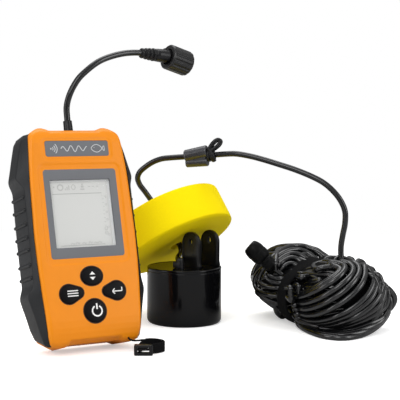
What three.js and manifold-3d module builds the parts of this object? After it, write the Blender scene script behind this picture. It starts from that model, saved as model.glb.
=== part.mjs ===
// Portable fish finder: a hand-held sonar display with its pigtail plug and lanyard,
// a transducer puck with its foam float, and the wound transducer cable.
// Millimetres, +Z up. The set stands on the plane Z = 0 and the frame's origin is the centre
// of the puck's base. The handset faces -Y and leans back towards +Y.
import * as THREE from "three";
import { mergeVertices } from "three/addons/utils/BufferGeometryUtils.js";
import Module from "manifold-3d";

const wasm = await Module();
wasm.setup();

// ---------------------------------------------------------------- helpers
const vec = (x, y, z) => new THREE.Vector3(x, y, z);
const unit = (x, y, z) => vec(x, y, z).normalize();
const X_AXIS = vec(1, 0, 0);
const Y_AXIS = vec(0, 1, 0);
const Z_AXIS = vec(0, 0, 1);

// Ranges are [low, high] pairs.
const centred = (half, middle = 0) => [middle - half, middle + half];
const grown = ([low, high], by) => [low - by, high + by];

// What pointAt gives for each of count equal steps round a circle.
const around = (count, pointAt) =>
  Array.from({ length: count }, (_, i) => pointAt((2 * Math.PI * i) / count));

// The point at a given distance along a line.
const line = (start, direction) => (distance) =>
  start.clone().addScaledVector(direction, distance);

// Two unit vectors square to a direction and to each other.
function axesAcross(direction) {
  const first = Z_AXIS.clone().cross(direction).normalize();
  return [first, direction.clone().cross(first)];
}

// A manifold solid from a closed geometry, its faces turned outwards.
function solid(geometry) {
  const bare = geometry.clone();
  bare.deleteAttribute("normal");
  bare.deleteAttribute("uv");
  const merged = mergeVertices(bare, 1e-4);
  const points = merged.attributes.position.array;
  const corners = new Uint32Array(merged.index.array);
  const corner = (i) => vec().fromArray(points, corners[i] * 3);
  let volume = 0;
  for (let i = 0; i < corners.length; i += 3) {
    volume += corner(i).dot(corner(i + 1).cross(corner(i + 2)));
  }
  if (volume < 0) {
    for (let i = 0; i < corners.length; i += 3) {
      [corners[i + 1], corners[i + 2]] = [corners[i + 2], corners[i + 1]];
    }
  }
  return new wasm.Manifold(
    new wasm.Mesh({ numProp: 3, vertProperties: new Float32Array(points), triVerts: corners }),
  );
}

function geometryOf(shape) {
  const mesh = shape.getMesh();
  const geometry = new THREE.BufferGeometry();
  const positions = new Float32Array(mesh.vertProperties);
  geometry.setAttribute("position", new THREE.BufferAttribute(positions, 3));
  geometry.setIndex(new THREE.BufferAttribute(new Uint32Array(mesh.triVerts), 1));
  const flat = geometry.toNonIndexed();
  flat.computeVertexNormals();
  return flat;
}

const join = (first, ...rest) => rest.reduce((sum, part) => sum.add(part), first);
const cut = (first, ...rest) => rest.reduce((left, part) => left.subtract(part), first);

function box([x0, x1], [y0, y1], [z0, z1]) {
  const geometry = new THREE.BoxGeometry(x1 - x0, y1 - y0, z1 - z0);
  geometry.translate((x0 + x1) / 2, (y0 + y1) / 2, (z0 + z1) / 2);
  return solid(geometry);
}

function shapeOf(points) {
  const shape = new THREE.Shape();
  points.forEach(([x, y], i) => (i ? shape.lineTo(x, y) : shape.moveTo(x, y)));
  shape.closePath();
  return shape;
}

const extruded = (points, depth) =>
  new THREE.ExtrudeGeometry(shapeOf(points), { depth, bevelEnabled: false });

// A profile in X and Z, extruded along Y, its rims cut back by bevel.
const FROM_XZ = new THREE.Matrix4().makeBasis(X_AXIS, Z_AXIS, vec(0, -1, 0));
function extrudeXZ(points, [y0, y1], bevel = 0, bevelSegments = 1) {
  const geometry = new THREE.ExtrudeGeometry(shapeOf(points), {
    depth: y1 - y0 - 2 * bevel,
    bevelEnabled: bevel > 0,
    bevelSize: bevel,
    bevelThickness: bevel,
    bevelOffset: -bevel,
    bevelSegments,
  });
  geometry.translate(0, 0, bevel);
  geometry.applyMatrix4(FROM_XZ);
  geometry.translate(0, y1, 0);
  return solid(geometry);
}

// A profile in Y and Z, extruded along X from x = 0.
const FROM_YZ = new THREE.Matrix4().makeBasis(Y_AXIS, Z_AXIS, X_AXIS);
const extrudedYZ = (points, depth) => extruded(points, depth).applyMatrix4(FROM_YZ);

// Turns a geometry's Y axis to a direction and moves its origin to a point.
function place(geometry, at, direction) {
  const turn = new THREE.Quaternion().setFromUnitVectors(Y_AXIS, direction);
  geometry.applyQuaternion(turn);
  geometry.translate(at.x, at.y, at.z);
  return geometry;
}

// A turned piece: profile of [radius, distance along direction] from the point at.
function turned(profile, at, direction, segments) {
  const points = profile.map(([radius, distance]) => new THREE.Vector2(radius, distance));
  return solid(place(new THREE.LatheGeometry(points, segments), at, direction));
}
const rod = (at, direction, radius, [from, to], segments) =>
  turned([[0, from], [radius, from], [radius, to], [0, to]], at, direction, segments);
const rodY = ([x, z], radius, span, segments) =>
  rod(vec(x, 0, z), Y_AXIS, radius, span, segments);

// A torus whose axis lies along Y.
const torusY = (radius, thickness, radial, tubular) =>
  new THREE.TorusGeometry(radius, thickness, radial, tubular).rotateX(Math.PI / 2);

const curveThrough = (points) =>
  new THREE.CatmullRomCurve3(points.map((point) => vec(...point)), false, "centripetal");

// A round tube through points given as vectors or [x, y, z].
function tube(points, radius, steps, radial) {
  return solid(
    new THREE.ExtrudeGeometry(shapeOf(ellipse([0, 0], radius, radius, radial)), {
      steps,
      extrudePath: curveThrough(points),
      bevelEnabled: false,
    }),
  );
}

function ellipse([x, z], halfX, halfZ, count = 22) {
  return around(count, (angle) => [x + halfX * Math.cos(angle), z + halfZ * Math.sin(angle)]);
}

// One side of the convex hull of sorted points, without its last point.
function hullSide(points) {
  const hull = [];
  for (const point of points) {
    while (hull.length > 1) {
      const [a, b] = hull.slice(-2);
      const turn = (b[0] - a[0]) * (point[1] - a[1]) - (b[1] - a[1]) * (point[0] - a[0]);
      if (turn > 1e-9) break;
      hull.pop();
    }
    hull.push(point);
  }
  return hull.slice(0, -1);
}

// The outline round two circles.
function teardrop(centre1, radius1, centre2, radius2, grow) {
  const points = [
    ...ellipse(centre1, radius1 + grow, radius1 + grow, 18),
    ...ellipse(centre2, radius2 + grow, radius2 + grow, 18),
  ];
  points.sort((p, q) => p[0] - q[0] || p[1] - q[1]);
  return [...hullSide(points), ...hullSide([...points].reverse())];
}

function roundedRect([x0, x1], [z0, z1], radius, steps = 4) {
  const centres = [
    [x1 - radius, z1 - radius],
    [x0 + radius, z1 - radius],
    [x0 + radius, z0 + radius],
    [x1 - radius, z0 + radius],
  ];
  return centres.flatMap(([x, z], quarter) =>
    Array.from({ length: steps + 1 }, (_, i) => {
      const angle = THREE.MathUtils.degToRad(90 * quarter + (90 * i) / steps);
      return [x + radius * Math.cos(angle), z + radius * Math.sin(angle)];
    }),
  );
}

// A closed skin over rings of equal length, capped at both ends.
function loft(rings) {
  const count = rings[0].length;
  const index = [];
  for (let i = 0; i + 1 < rings.length; i++) {
    for (let j = 0; j < count; j++) {
      const a = i * count + j;
      const b = i * count + ((j + 1) % count);
      index.push(a, b, b + count, a, b + count, a + count);
    }
  }
  const last = (rings.length - 1) * count;
  for (let j = 1; j + 1 < count; j++) {
    index.push(0, j + 1, j);
    index.push(last, last + j, last + j + 1);
  }
  const geometry = new THREE.BufferGeometry();
  geometry.setAttribute("position", new THREE.Float32BufferAttribute(rings.flat(2), 3));
  geometry.setIndex(index);
  return solid(geometry);
}

// Reads a table of [z, value], straight between rows and constant beyond its ends.
function lookUp(rows, z) {
  if (z <= rows[0][0]) return rows[0][1];
  for (let i = 1; i < rows.length; i++) {
    const [z0, value0] = rows[i - 1];
    const [z1, value1] = rows[i];
    if (z <= z1) return value0 + ((z - z0) / (z1 - z0)) * (value1 - value0);
  }
  return rows[rows.length - 1][1];
}

// ---------------------------------------------------------------- driving dimensions
const CASE = {
  length: 133,
  lean: THREE.MathUtils.degToRad(15.73),
  frontY: -0.8,
  backY: 26,
  splitY: 13.5, // joint between the two casing halves
  jointHalf: 0.7, // each half stops this far from the joint
  wall: 2.4,
  frontBevel: 1.8,
  rearBevel: 1.6,
};
const GAP = 0.3; // clearance round inset parts
const WINDOW = { x: centred(23.7), z: [51.8, 106.1], corner: 2 };
const SCREEN = { x: centred(19.5), z: [58.4, 99.6] };
const BADGE = { x: centred(20.6), z: [114.1, 123.5], corner: 1.5 };
const BATTERY_BAY = { x: centred(24), z: [36, 92] };
const SCREW_POSTS = [[-22.5, 9], [22.5, 9], [-22.5, 121], [22.5, 121]]; // x, z
const RELIEF_AT = vec(1.4, 13.2, 0); // axis of the strain relief, along Z
const CABLE_RADIUS = 1.7;
const PUCK = { x: 94.7, y: 69.9, radius: 25.5, height: 38.4 };

// ---------------------------------------------------------------- materials and groups
const LOOKS = {
  orange: { color: 0xf28a12, roughness: 0.42 },
  soft_black: { color: 0x1c1d1f, roughness: 0.62 },
  gloss_black: { color: 0x0c0c0d, roughness: 0.12 },
  cable_black: { color: 0x141517, roughness: 0.34 },
  key_black: { color: 0x17181b, roughness: 0.5 },
  bezel_grey: { color: 0x75787c, roughness: 0.45 },
  lens: { color: 0xd8dcda, roughness: 0.08 },
  lcd: { color: 0xcfd1cb, roughness: 0.3 },
  white: { color: 0xe8e8e4, roughness: 0.6 },
  pcb: { color: 0x1d6b3a, roughness: 0.55 },
  rubber: { color: 0x2a2b2d, roughness: 0.8 },
  steel: { color: 0xb9bcc0, roughness: 0.3, metalness: 1 },
  brass: { color: 0xc9a558, roughness: 0.3, metalness: 1 },
  yellow: { color: 0xf0d400, roughness: 0.75 },
  resin: { color: 0x2b2620, roughness: 0.4 },
  ceramic: { color: 0xd9cfae, roughness: 0.6 },
  cork: { color: 0x9a7248, roughness: 0.85 },
  strap: { color: 0x202124, roughness: 0.9 },
  cell: { color: 0x3b6ea5, roughness: 0.35, metalness: 0.3 },
};

const root = new THREE.Group();
root.name = "fish_finder";
root.position.set(-PUCK.x, -PUCK.y, 0);

// The leaning handset rests on the lower edge of its back, in front of the rear bevel.
const handset = new THREE.Group();
handset.rotation.x = -CASE.lean;
handset.position.z = (CASE.backY - CASE.rearBevel) * Math.sin(CASE.lean);
root.add(handset);

function add(name, shape, look, parent = root) {
  const material = new THREE.MeshStandardMaterial(LOOKS[look]);
  const mesh = new THREE.Mesh(geometryOf(shape), material);
  mesh.name = name;
  parent.add(mesh);
}
const addToHandset = (name, shape, look) => add(name, shape, look, handset);

// ---------------------------------------------------------------- outlines on the front
// Half width of the casing (without its grips): z, half width.
const CASE_EDGE = [
  [2.5, 28.3], [7, 29.4], [20, 30.6], [35, 31.8], [50, 32.5], [66, 32.8], [85, 32.4],
  [100, 32.0], [108, 31.6], [117, 30.8], [126, 29.6], [129.4, 27.6],
];
// The casing's +X half, from the bottom up: x, z.
const HALF_OUTLINE = [
  [0, 1.5], [16, 1.5], [19.5, 0.1], [25, 0],
  ...CASE_EDGE.map(([z, half]) => [half, z]),
  [22.6, 132.6], [19, CASE.length], [14.5, 131.6], [0, 131.6],
];

// The whole casing outline, scaled in about its middle by roughly inset.
function caseOutline(inset = 0) {
  const middle = CASE.length / 2;
  const scaleX = 1 - inset / 32;
  const scaleZ = 1 - inset / middle;
  const right = HALF_OUTLINE.map(([x, z]) => [x * scaleX, middle + (z - middle) * scaleZ]);
  const left = right.slice(1, -1).reverse().map(([x, z]) => [-x, z]);
  return [...right, ...left];
}

const panelOutline = ({ x, z, corner }, grow = 0) =>
  roundedRect(grown(x, grow), grown(z, grow), corner + grow);

const UNIT_KEY_AT = [0.2, 40.6]; // x, z
const POWER_KEY_AT = [0, 19.8];
const KEY_OUTLINES = {
  key_unit: (grow) => ellipse(UNIT_KEY_AT, 6.8 + grow, 5.5 + grow),
  key_menu: (grow) => teardrop([-15.4, 30.7], 5.6, [-9.3, 31.3], 3.1, grow),
  key_enter: (grow) => teardrop([15.4, 30.9], 5.6, [9.4, 30.9], 3.1, grow),
  key_power: (grow) => ellipse(POWER_KEY_AT, 6.9 + grow, 6.9 + grow),
};

// ---------------------------------------------------------------- casing
const atPosts = (radius, span, segments) =>
  SCREW_POSTS.map((post) => rodY(post, radius, span, segments));
const reliefHole = rod(RELIEF_AT, Z_AXIS, 3.4, [120, 140], 20);
const SCREW_HOLE_RADIUS = 1.4;
const HALF_SHELL_X = centred(50); // clear of the casing's sides and ends
const HALF_SHELL_Z = [-5, 140];

// The front shell seen from the side, cutting back its lower and upper ends: y, z.
const FRONT_PROFILE = [
  [4.6, -0.5], [1.8, 4], [-0.1, 9], [CASE.frontY, 15], [CASE.frontY, 124.2], [0.2, 127.5],
  [2.4, 131], [5, 133.5], [40, 133.5], [40, -0.5],
];

function frontShell() {
  const openFront = -4; // start of the cutters, ahead of the front face
  const profile = solid(extrudedYZ(FRONT_PROFILE, 80).translate(-40, 0, 0));
  const block = extrudeXZ(caseOutline(), [CASE.frontY, 22], CASE.frontBevel, 2)
    .intersect(profile)
    .intersect(box(HALF_SHELL_X, [-10, CASE.splitY - CASE.jointHalf], HALF_SHELL_Z));
  const cavity = cut(
    extrudeXZ(caseOutline(CASE.wall), [1.4, 20]),
    box(centred(26), [-5, 3.2], [49, 109.2]), // thicker wall round the window
    ...atPosts(2.9, [0, 12.6], 16),
  );
  return cut(
    block,
    cavity,
    extrudeXZ(roundedRect(centred(26.2), [48.9, 109], 3.5), [openFront, -0.3]),
    extrudeXZ(panelOutline(WINDOW, GAP), [openFront, 1.6]),
    box(centred(20.2), [0, 5], [57.5, 100.5]),
    extrudeXZ(panelOutline(BADGE, GAP), [openFront, 0.7]),
    ...Object.values(KEY_OUTLINES).map((outline) => extrudeXZ(outline(0.35), [openFront, 4])),
    ...atPosts(SCREW_HOLE_RADIUS, [3.5, 14], 12),
    reliefHole,
  );
}

// Cutter for a lower corner, sloping up outwards and reaching further in at the back.
function footCutter(side) {
  const stations = [[13.2, 5.0, 0.8], [27, 0, 0]]; // y, shift outwards, shift down
  return loft(
    stations.map(([y, out, down]) => {
      const ring = [
        [18.6 + out, -down], [33 + out, 8.6 - down], [44, 8.6 - down], [44, -4], [18.6 + out, -4],
      ].map(([x, z]) => [side * x, y, z]);
      return side < 0 ? ring.reverse() : ring;
    }),
  );
}

function rearShell() {
  const solidCornerY = [13, 30];
  const solidCornerZ = [-5, 6.8];
  const block = extrudeXZ(caseOutline(), [4, CASE.backY], CASE.rearBevel).intersect(
    box(HALF_SHELL_X, [CASE.splitY + CASE.jointHalf, 60], HALF_SHELL_Z),
  );
  const cavity = cut(
    extrudeXZ(caseOutline(CASE.wall), [10, 23.8]),
    ...atPosts(3.4, [5, 30], 16),
    box([-40, -18], solidCornerY, solidCornerZ),
    box([18, 40], solidCornerY, solidCornerZ),
  );
  return cut(
    block,
    footCutter(-1),
    footCutter(1),
    cavity,
    box(BATTERY_BAY.x, [20, 30], BATTERY_BAY.z),
    ...atPosts(SCREW_HOLE_RADIUS, [10, 30], 12),
    ...atPosts(2.7, [23.2, 30], 16), // recesses for the screw heads
    reliefHole,
  );
}

const shellGasket = () =>
  cut(
    extrudeXZ(caseOutline(0.7), centred(0.4, CASE.splitY)),
    extrudeXZ(caseOutline(2.1), centred(2, CASE.splitY)),
    reliefHole,
  );

// A screw along Y, with a cross slot in the head at its back end.
function caseScrew([x, z]) {
  const shank = 1.1;
  const head = { radius: 2.3, y: [23.6, 25] };
  const slot = { half: 1.6, halfWidth: 0.3, y: [24.4, 26] };
  const profile = [
    [0, 6], [shank, 6], [shank, head.y[0]], [head.radius, head.y[0]],
    [head.radius, head.y[1]], [0, head.y[1]],
  ];
  return cut(
    turned(profile, vec(x, 0, z), Y_AXIS, 12),
    box(centred(slot.half, x), slot.y, centred(slot.halfWidth, z)),
    box(centred(slot.halfWidth, x), slot.y, centred(slot.half, z)),
  );
}

addToHandset("front_shell", frontShell(), "orange");
addToHandset("rear_shell", rearShell(), "orange");
addToHandset("shell_gasket", shellGasket(), "rubber");
SCREW_POSTS.forEach((post, i) => addToHandset(`case_screw_${i + 1}`, caseScrew(post), "steel"));

// ---------------------------------------------------------------- grips
// Each table gives z, then X or Y of one long edge of the grip.
const RIDGE_X = [
  [2.5, 30.2], [9, 32.3], [20, 34.9], [31.8, 37.6], [37.5, 34.7], [96.5, 34.8],
  [102.5, 38.2], [108, 37.0], [117, 34.9], [126, 32.6], [129.2, 30.4],
];
const RIDGE_Y = [
  [2.5, 7], [9, 7.2], [31.8, 7.5], [37.5, 3.3], [96.5, 3.3], [102.5, 7.5], [126, 7.5],
  [129.2, 8],
];
const BACK_X = [
  [2.5, 30.9], [9, 32.7], [20, 35.3], [31.8, 38.1], [37.5, 36.1], [66, 36.3], [96.5, 36.1],
  [102.5, 38.1], [108, 36.9], [117, 34.8], [126, 32.5], [129.2, 30.4],
];
const INNER_Y = [
  [2.5, 4.4], [9, 2.5], [20, 1.0], [35, 0.4], [108, 0.4], [117, 0.9], [126, 2.6],
  [129.2, 4.2],
];
const GRIP_BOTTOM = 2.5;
const GRIP_TOP = 129.2;
const GRIP_STATIONS = [
  GRIP_BOTTOM, 9, 20, 31.8, 37.5, 50, 66, 85, 96.5, 102.5, 108, 117, 126, GRIP_TOP,
];
const GRIP_BACK_Y = 25;

// The two end sections tilt: their back edge is shifted in Z towards the middle.
const endShifts = new Map([[GRIP_BOTTOM, 5], [GRIP_TOP, -1.5]]);

function gripSection(z) {
  const shift = endShifts.get(z) ?? 0;
  const innerX = lookUp(CASE_EDGE, z) + (shift > 0 ? 0.65 : 0.35);
  const innerBackX = lookUp(CASE_EDGE, z + shift) + (shift < 0 ? 0.25 : 0.4);
  const backX = lookUp(BACK_X, z);
  return [
    [innerX, lookUp(INNER_Y, z), z],
    [lookUp(RIDGE_X, z), lookUp(RIDGE_Y, z), z],
    [backX, 22.4, z + 0.85 * shift],
    [Math.max(innerBackX + 0.5, backX - 2.4), GRIP_BACK_Y, z + shift],
    [innerBackX, GRIP_BACK_Y, z + shift],
  ];
}

// A raised bar across the grip's outer face, tilted to follow it.
function gripRib(side, z) {
  const outline = roundedRect([4.6, 21.5], centred(1.15, z), 1.1, 2);
  const geometry = extrudedYZ(outline, 2.6);
  geometry.rotateZ(-0.076);
  geometry.translate(33.35, 0, 0);
  if (side < 0) geometry.scale(-1, 1, 1);
  return solid(geometry);
}

function grip(side, ribHeights) {
  const rings = GRIP_STATIONS.map((station) =>
    gripSection(station).map(([x, y, z]) => [side * x, y, z]),
  );
  return join(loft(rings), ...ribHeights.map((z) => gripRib(side, z)));
}

const LEFT_RIBS = [42.7, 50.4, 59.4, 66.9, 74.7, 83.3, 91.1];
const RIGHT_RIBS = [46.1, 56.5, 66.8, 77.1, 87.4];
addToHandset("left_grip", grip(-1, LEFT_RIBS), "soft_black");
addToHandset("right_grip", grip(1, RIGHT_RIBS), "soft_black");

// ---------------------------------------------------------------- window, display, badge
const windowBezel = cut(
  extrudeXZ(panelOutline(WINDOW), [-0.1, 1.3]),
  box(SCREEN.x, [-3, 3], SCREEN.z),
);
const windowLens = box(grown(SCREEN.x, -GAP), [0.2, 1.3], grown(SCREEN.z, -GAP));
const lcdFrame = cut(
  box(centred(22.8), [3.9, 6.9], [54.8, 103.2]),
  box(centred(19.6), [3, 8], [58.1, 99.9]),
);
addToHandset("window_bezel", windowBezel, "bezel_grey");
addToHandset("window_lens", windowLens, "lens");
addToHandset("lcd_glass", box(centred(19.8), [1.9, 3.6], [57.9, 100.1]), "lcd");
addToHandset("lcd_frame", lcdFrame, "white");
addToHandset("backlight", box(centred(19.2), [4.0, 6.2], [61.5, 99.5]), "white");
addToHandset("connector_strip", box(centred(18.5), [4.0, 6.9], [58.5, 60.9]), "rubber");
addToHandset("name_badge", extrudeXZ(panelOutline(BADGE), [-0.6, 0.4]), "bezel_grey");

// ---------------------------------------------------------------- keys and electronics
// A key cap standing out of the face, with a wider flange behind.
const keyCap = (outline) =>
  join(
    extrudeXZ(outline(0), [CASE.frontY - 1, 3.3], 0.5),
    extrudeXZ(outline(1.2), [2.0, 3.4]),
  );
for (const [name, outline] of Object.entries(KEY_OUTLINES)) {
  addToHandset(name, keyCap(outline), "key_black");
}

// A sheet behind the keys, with a tapered stud on its back for each.
function keyMat() {
  const studs = [UNIT_KEY_AT, [-13.5, 30.9], [13.5, 30.9], POWER_KEY_AT].map(([x, z]) =>
    turned([[0, 5.5], [3.2, 5.5], [2.2, 6.9], [0, 6.9]], vec(x, 0, z), Y_AXIS, 12),
  );
  return join(box(centred(24), [4.9, 5.9], [12.6, 48.2]), ...studs);
}

// A disc with a small round recess in its back.
const BUZZER_PROFILE = [[0, 9.2], [6, 9.2], [6, 12.4], [1.2, 12.4], [1.2, 11.6], [0, 11.6]];

addToHandset("key_mat", keyMat(), "rubber");
addToHandset("main_board", box(centred(26.3), [7.3, 8.9], [13, 115]), "pcb");
addToHandset("sonar_chip", box([-12, -2], [9.2, 10.4], [96, 106]), "key_black");
addToHandset("buzzer", turned(BUZZER_PROFILE, vec(0, 0, 24), Y_AXIS, 20), "key_black");

// ---------------------------------------------------------------- battery compartment
const CELL = { radius: 5.1, length: 44.5, y: 18.5, z: 41.9, pitch: 11.1 };
CELL.stud = { radius: 2.2, length: 1.2 };
const CELL_X = [-1.5, -0.5, 0.5, 1.5].map((step) => step * CELL.pitch);
const TRAY_INSIDE_Z = [37.9, 90.1];

const batteryTray = cut(
  box(centred(23.4), [11.5, 24], [36.5, 91.5]),
  box(centred(22.6), [12.9, 30], TRAY_INSIDE_Z),
);

function cell(x, pointsUp) {
  const { radius, length, stud } = CELL;
  const shoulder = length - stud.length;
  const profile = [
    [0, 0], [radius, 0], [radius, shoulder], [stud.radius, shoulder],
    [stud.radius, length], [0, length],
  ];
  const at = vec(x, CELL.y, pointsUp ? CELL.z : CELL.z + length);
  return turned(profile, at, vec(0, 0, pointsUp ? 1 : -1), 16);
}

// Two turns of wire, narrowing away from the contact plate.
function contactSpring(x, z, up) {
  const points = Array.from({ length: 19 }, (_, i) => {
    const angle = (2 * Math.PI * i) / 9;
    const radius = 3 - 0.05 * i;
    const height = 0.45 + (2.35 * i) / 18;
    return [x + radius * Math.cos(angle), CELL.y + radius * Math.sin(angle), z + up * height];
  });
  return tube(points, 0.4, 20, 4);
}

const contactStud = (x, z, up) =>
  turned([[0, 0.2], [2.6, 0.2], [1.8, 2.7], [0, 2.7]], vec(x, CELL.y, z), vec(0, 0, up), 12);

// A plate with its outer face at z; up is 1 or -1, the way its springs and studs point.
function contact(z, up, springCells, studCells) {
  const halfThickness = 0.25;
  return join(
    box(centred(21.8), [14.8, 22.2], centred(halfThickness, z + halfThickness * up)),
    ...springCells.map((i) => contactSpring(CELL_X[i], z, up)),
    ...studCells.map((i) => contactStud(CELL_X[i], z, up)),
  );
}

// The door, with a grooved raised pad near its upper edge.
function batteryDoor() {
  const plate = box(grown(BATTERY_BAY.x, -GAP), [24.3, 25.9], grown(BATTERY_BAY.z, -GAP));
  const pad = box(centred(6), [25.7, 26.5], [84.5, 89.5]);
  const grooves = [85.5, 87, 88.5].map((z) => box(centred(4.5), [26.2, 28], centred(0.3, z)));
  return cut(join(plate, pad), ...grooves);
}

addToHandset("battery_tray", batteryTray, "soft_black");
CELL_X.forEach((x, i) => addToHandset(`cell_${i + 1}`, cell(x, i % 2 === 0), "cell"));
const [lowerContactZ, upperContactZ] = grown(TRAY_INSIDE_Z, -GAP);
addToHandset("lower_contact", contact(lowerContactZ, 1, [0, 2], [1, 3]), "steel");
addToHandset("upper_contact", contact(upperContactZ, -1, [1, 3], [0, 2]), "steel");
addToHandset("battery_door", batteryDoor(), "orange");

// ---------------------------------------------------------------- strain relief and pigtail
// Turned profiles from here on: radius, distance along the axis.
const RELIEF_PROFILE = [
  [0, 125.8], [4, 125.8], [4, 128.6], [3.1, 128.6], [3.1, 131.9], [3.7, 131.9],
  [3.7, 133.2], [2.9, 133.7], [3.3, 134.4], [2.7, 135.2], [3.0, 136], [2.4, 136.9],
  [2.7, 137.7], [2.1, 139.6], [0, 139.6],
];
addToHandset("strain_relief", turned(RELIEF_PROFILE, RELIEF_AT, Z_AXIS, 18), "soft_black");

const NUT = { radius: 8.35, length: 17, rear: vec(75.1, 58.2, 179.8) };
NUT.direction = unit(16.4, 2.4, -4.6);
const BOOT_DIRECTION = unit(21.2, 3.1, -1.5); // turned a little from the nut's axis
const onNut = line(NUT.rear, NUT.direction);
const onBoot = line(NUT.rear, BOOT_DIRECTION);

const pigtailStart = vec(RELIEF_AT.x, RELIEF_AT.y, 139.95)
  .applyEuler(handset.rotation)
  .add(handset.position);
const PIGTAIL_PATH = [
  pigtailStart, [1.4, 51.6, 146.5], [3.2, 50.6, 154.4], [8.3, 50.0, 163.4],
  [14.4, 50.0, 169.2], [22.5, 50.4, 174.8], [31.5, 51.7, 178.3], [42, 53.3, 180.7],
  onBoot(-23.6), onBoot(-21.7),
];
add("pigtail_cable", tube(PIGTAIL_PATH, CABLE_RADIUS, 26, 7), "cable_black");

// ---------------------------------------------------------------- pigtail plug
const BOOT_PROFILE = [
  [0, -21.4], [2.9, -21.4], [3.3, -20.6], [2.6, -19.8], [2.6, -19.2], [3.6, -18.4],
  [3.6, -17.8], [2.8, -17.1], [2.8, -16.5], [3.9, -15.7], [3.9, -15.1], [3.0, -14.4],
  [3.0, -13.8], [4.2, -13], [4.2, -12.4], [3.3, -11.7], [3.3, -11.2], [4.4, -10.2],
  [5.1, -3.4], [5.0, -1.4], [0, -1.4],
];
// The ribbed boot with a straight core reaching into the nut.
const plugBoot = join(
  turned(BOOT_PROFILE, NUT.rear, BOOT_DIRECTION, 14),
  rod(NUT.rear, NUT.direction, 4.6, [-3, 3.6], 18),
);

const CORE_PROFILE = [
  [0, 3.9], [6.2, 3.9], [6.2, 5.6], [4.7, 5.6], [4.7, 12.6], [4.2, 13.1], [0, 13.1],
];

// Four pins in a square round a plug's axis.
function plugPins(at, direction, span) {
  const fromAxis = 1.5;
  const [across, over] = axesAcross(direction);
  return [[1, 1], [-1, 1], [1, -1], [-1, -1]].map(([a, b]) => {
    const foot = at
      .clone()
      .addScaledVector(across, a * fromAxis)
      .addScaledVector(over, b * fromAxis);
    return rod(foot, direction, 0.5, span, 8);
  });
}

function couplingNut() {
  const { radius, length, rear, direction } = NUT;
  const bore = 6.8;
  const rearBore = 5.3;
  const profile = [
    [rearBore, 0], [7.7, 0], [radius, 0.7], [radius, length - 1.2], [radius - 1.1, length],
    [bore, length], [bore, 3.2], [rearBore, 3.2], [rearBore, 0],
  ];
  const [across, over] = axesAcross(direction);
  const fluteCircle = radius + 0.35;
  const flutes = around(12, (angle) => {
    const at = rear
      .clone()
      .addScaledVector(across, fluteCircle * Math.cos(angle))
      .addScaledVector(over, fluteCircle * Math.sin(angle));
    return rod(at, direction, 0.95, [1.6, length + 2], 6);
  });
  return cut(turned(profile, rear, direction, 28), ...flutes);
}

add("plug_boot", plugBoot, "soft_black");
add("plug_core", turned(CORE_PROFILE, NUT.rear, NUT.direction, 20), "rubber");
add(
  "plug_pins",
  join(
    rod(NUT.rear, NUT.direction, 3.4, [13.4, 14.0], 12), // plate carrying the pins
    ...plugPins(NUT.rear, NUT.direction, [13.6, 16.2]),
  ),
  "brass",
);
add("plug_seal_ring", solid(place(torusY(5.6, 0.5, 6, 18), onNut(7.2), NUT.direction)), "rubber");
add("coupling_nut", couplingNut(), "soft_black");

// ---------------------------------------------------------------- lanyard
const CORD_PATH = [[20.9, 2.4, 7.4], [23.6, 1.9, 6.6], [27.2, 2.3, 5.4], [30.7, 3.3, 4.2]];
// Middle line of the strap, standing on edge on the ground: x, y.
const STRAP_PATH = [
  [22.8, -8.0], [27.2, -3.2], [31.0, 1.0], [34.4, 2.2], [38.4, 0.2], [40.3, -4.5],
  [38.4, -9.0], [34, -11.4], [29.3, -11.2],
];

function lanyardStrap() {
  const halfThickness = 0.55;
  const [z0, z1] = [0.1, 6.5];
  const path = curveThrough(STRAP_PATH.map(([x, y]) => [x, y, 0])).getSpacedPoints(22);
  const sideOf = (offset) =>
    path.map(({ x, y }, i) => {
      const before = path[Math.max(i - 1, 0)];
      const after = path[Math.min(i + 1, path.length - 1)];
      const heading = after.clone().sub(before).normalize();
      return [x - heading.y * offset, y + heading.x * offset];
    });
  const outline = [...sideOf(halfThickness), ...sideOf(-halfThickness).reverse()];
  return solid(extruded(outline, z1 - z0).translate(0, 0, z0));
}

// A block with a slot through its thickness, turned in plan.
function lanyardClip() {
  const thickness = 4.6;
  const across = { x: 0.4616, y: 0.887 }; // thickness direction
  const face = { x: 22.5, y: -14.45 }; // middle of the face it starts from
  const placed = (length, depth, height) => {
    const geometry = new THREE.BoxGeometry(length, depth, height);
    geometry.rotateZ(Math.atan2(-across.x, across.y));
    geometry.translate(
      face.x + (across.x * thickness) / 2,
      face.y + (across.y * thickness) / 2,
      3.3,
    );
    return solid(geometry);
  };
  return cut(placed(11, thickness, 6.4), placed(7, 10, 3.1));
}

add("lanyard_cord", tube(CORD_PATH, 0.6, 8, 6), "strap");
add("lanyard_strap", lanyardStrap(), "strap");
add("lanyard_clip", lanyardClip(), "soft_black");

// ---------------------------------------------------------------- transducer puck
const PUCK_AT = vec(PUCK.x, PUCK.y, 0);
const CUP_PROFILE = [
  [0, 0], [23.6, 0], [24.9, 0.6], [PUCK.radius, 2], [PUCK.radius, 36], [23.2, 36],
  [23.2, 3.2], [0, 3.2],
];
const CAP_PROFILE = [
  [0, 33.2], [22.8, 33.2], [22.8, 36.3], [PUCK.radius, 36.3], [PUCK.radius, 37.8],
  [24.9, PUCK.height], [0, PUCK.height],
];
const LUG = { thickness: 2.6, half: 8, top: 62.4, holeZ: 55.4, holeRadius: 2.3 };
LUG.across = vec(0.953, 0.303, 0); // through each lug's thickness
LUG.along = vec(-0.303, 0.953, 0); // along each lug's width

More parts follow.
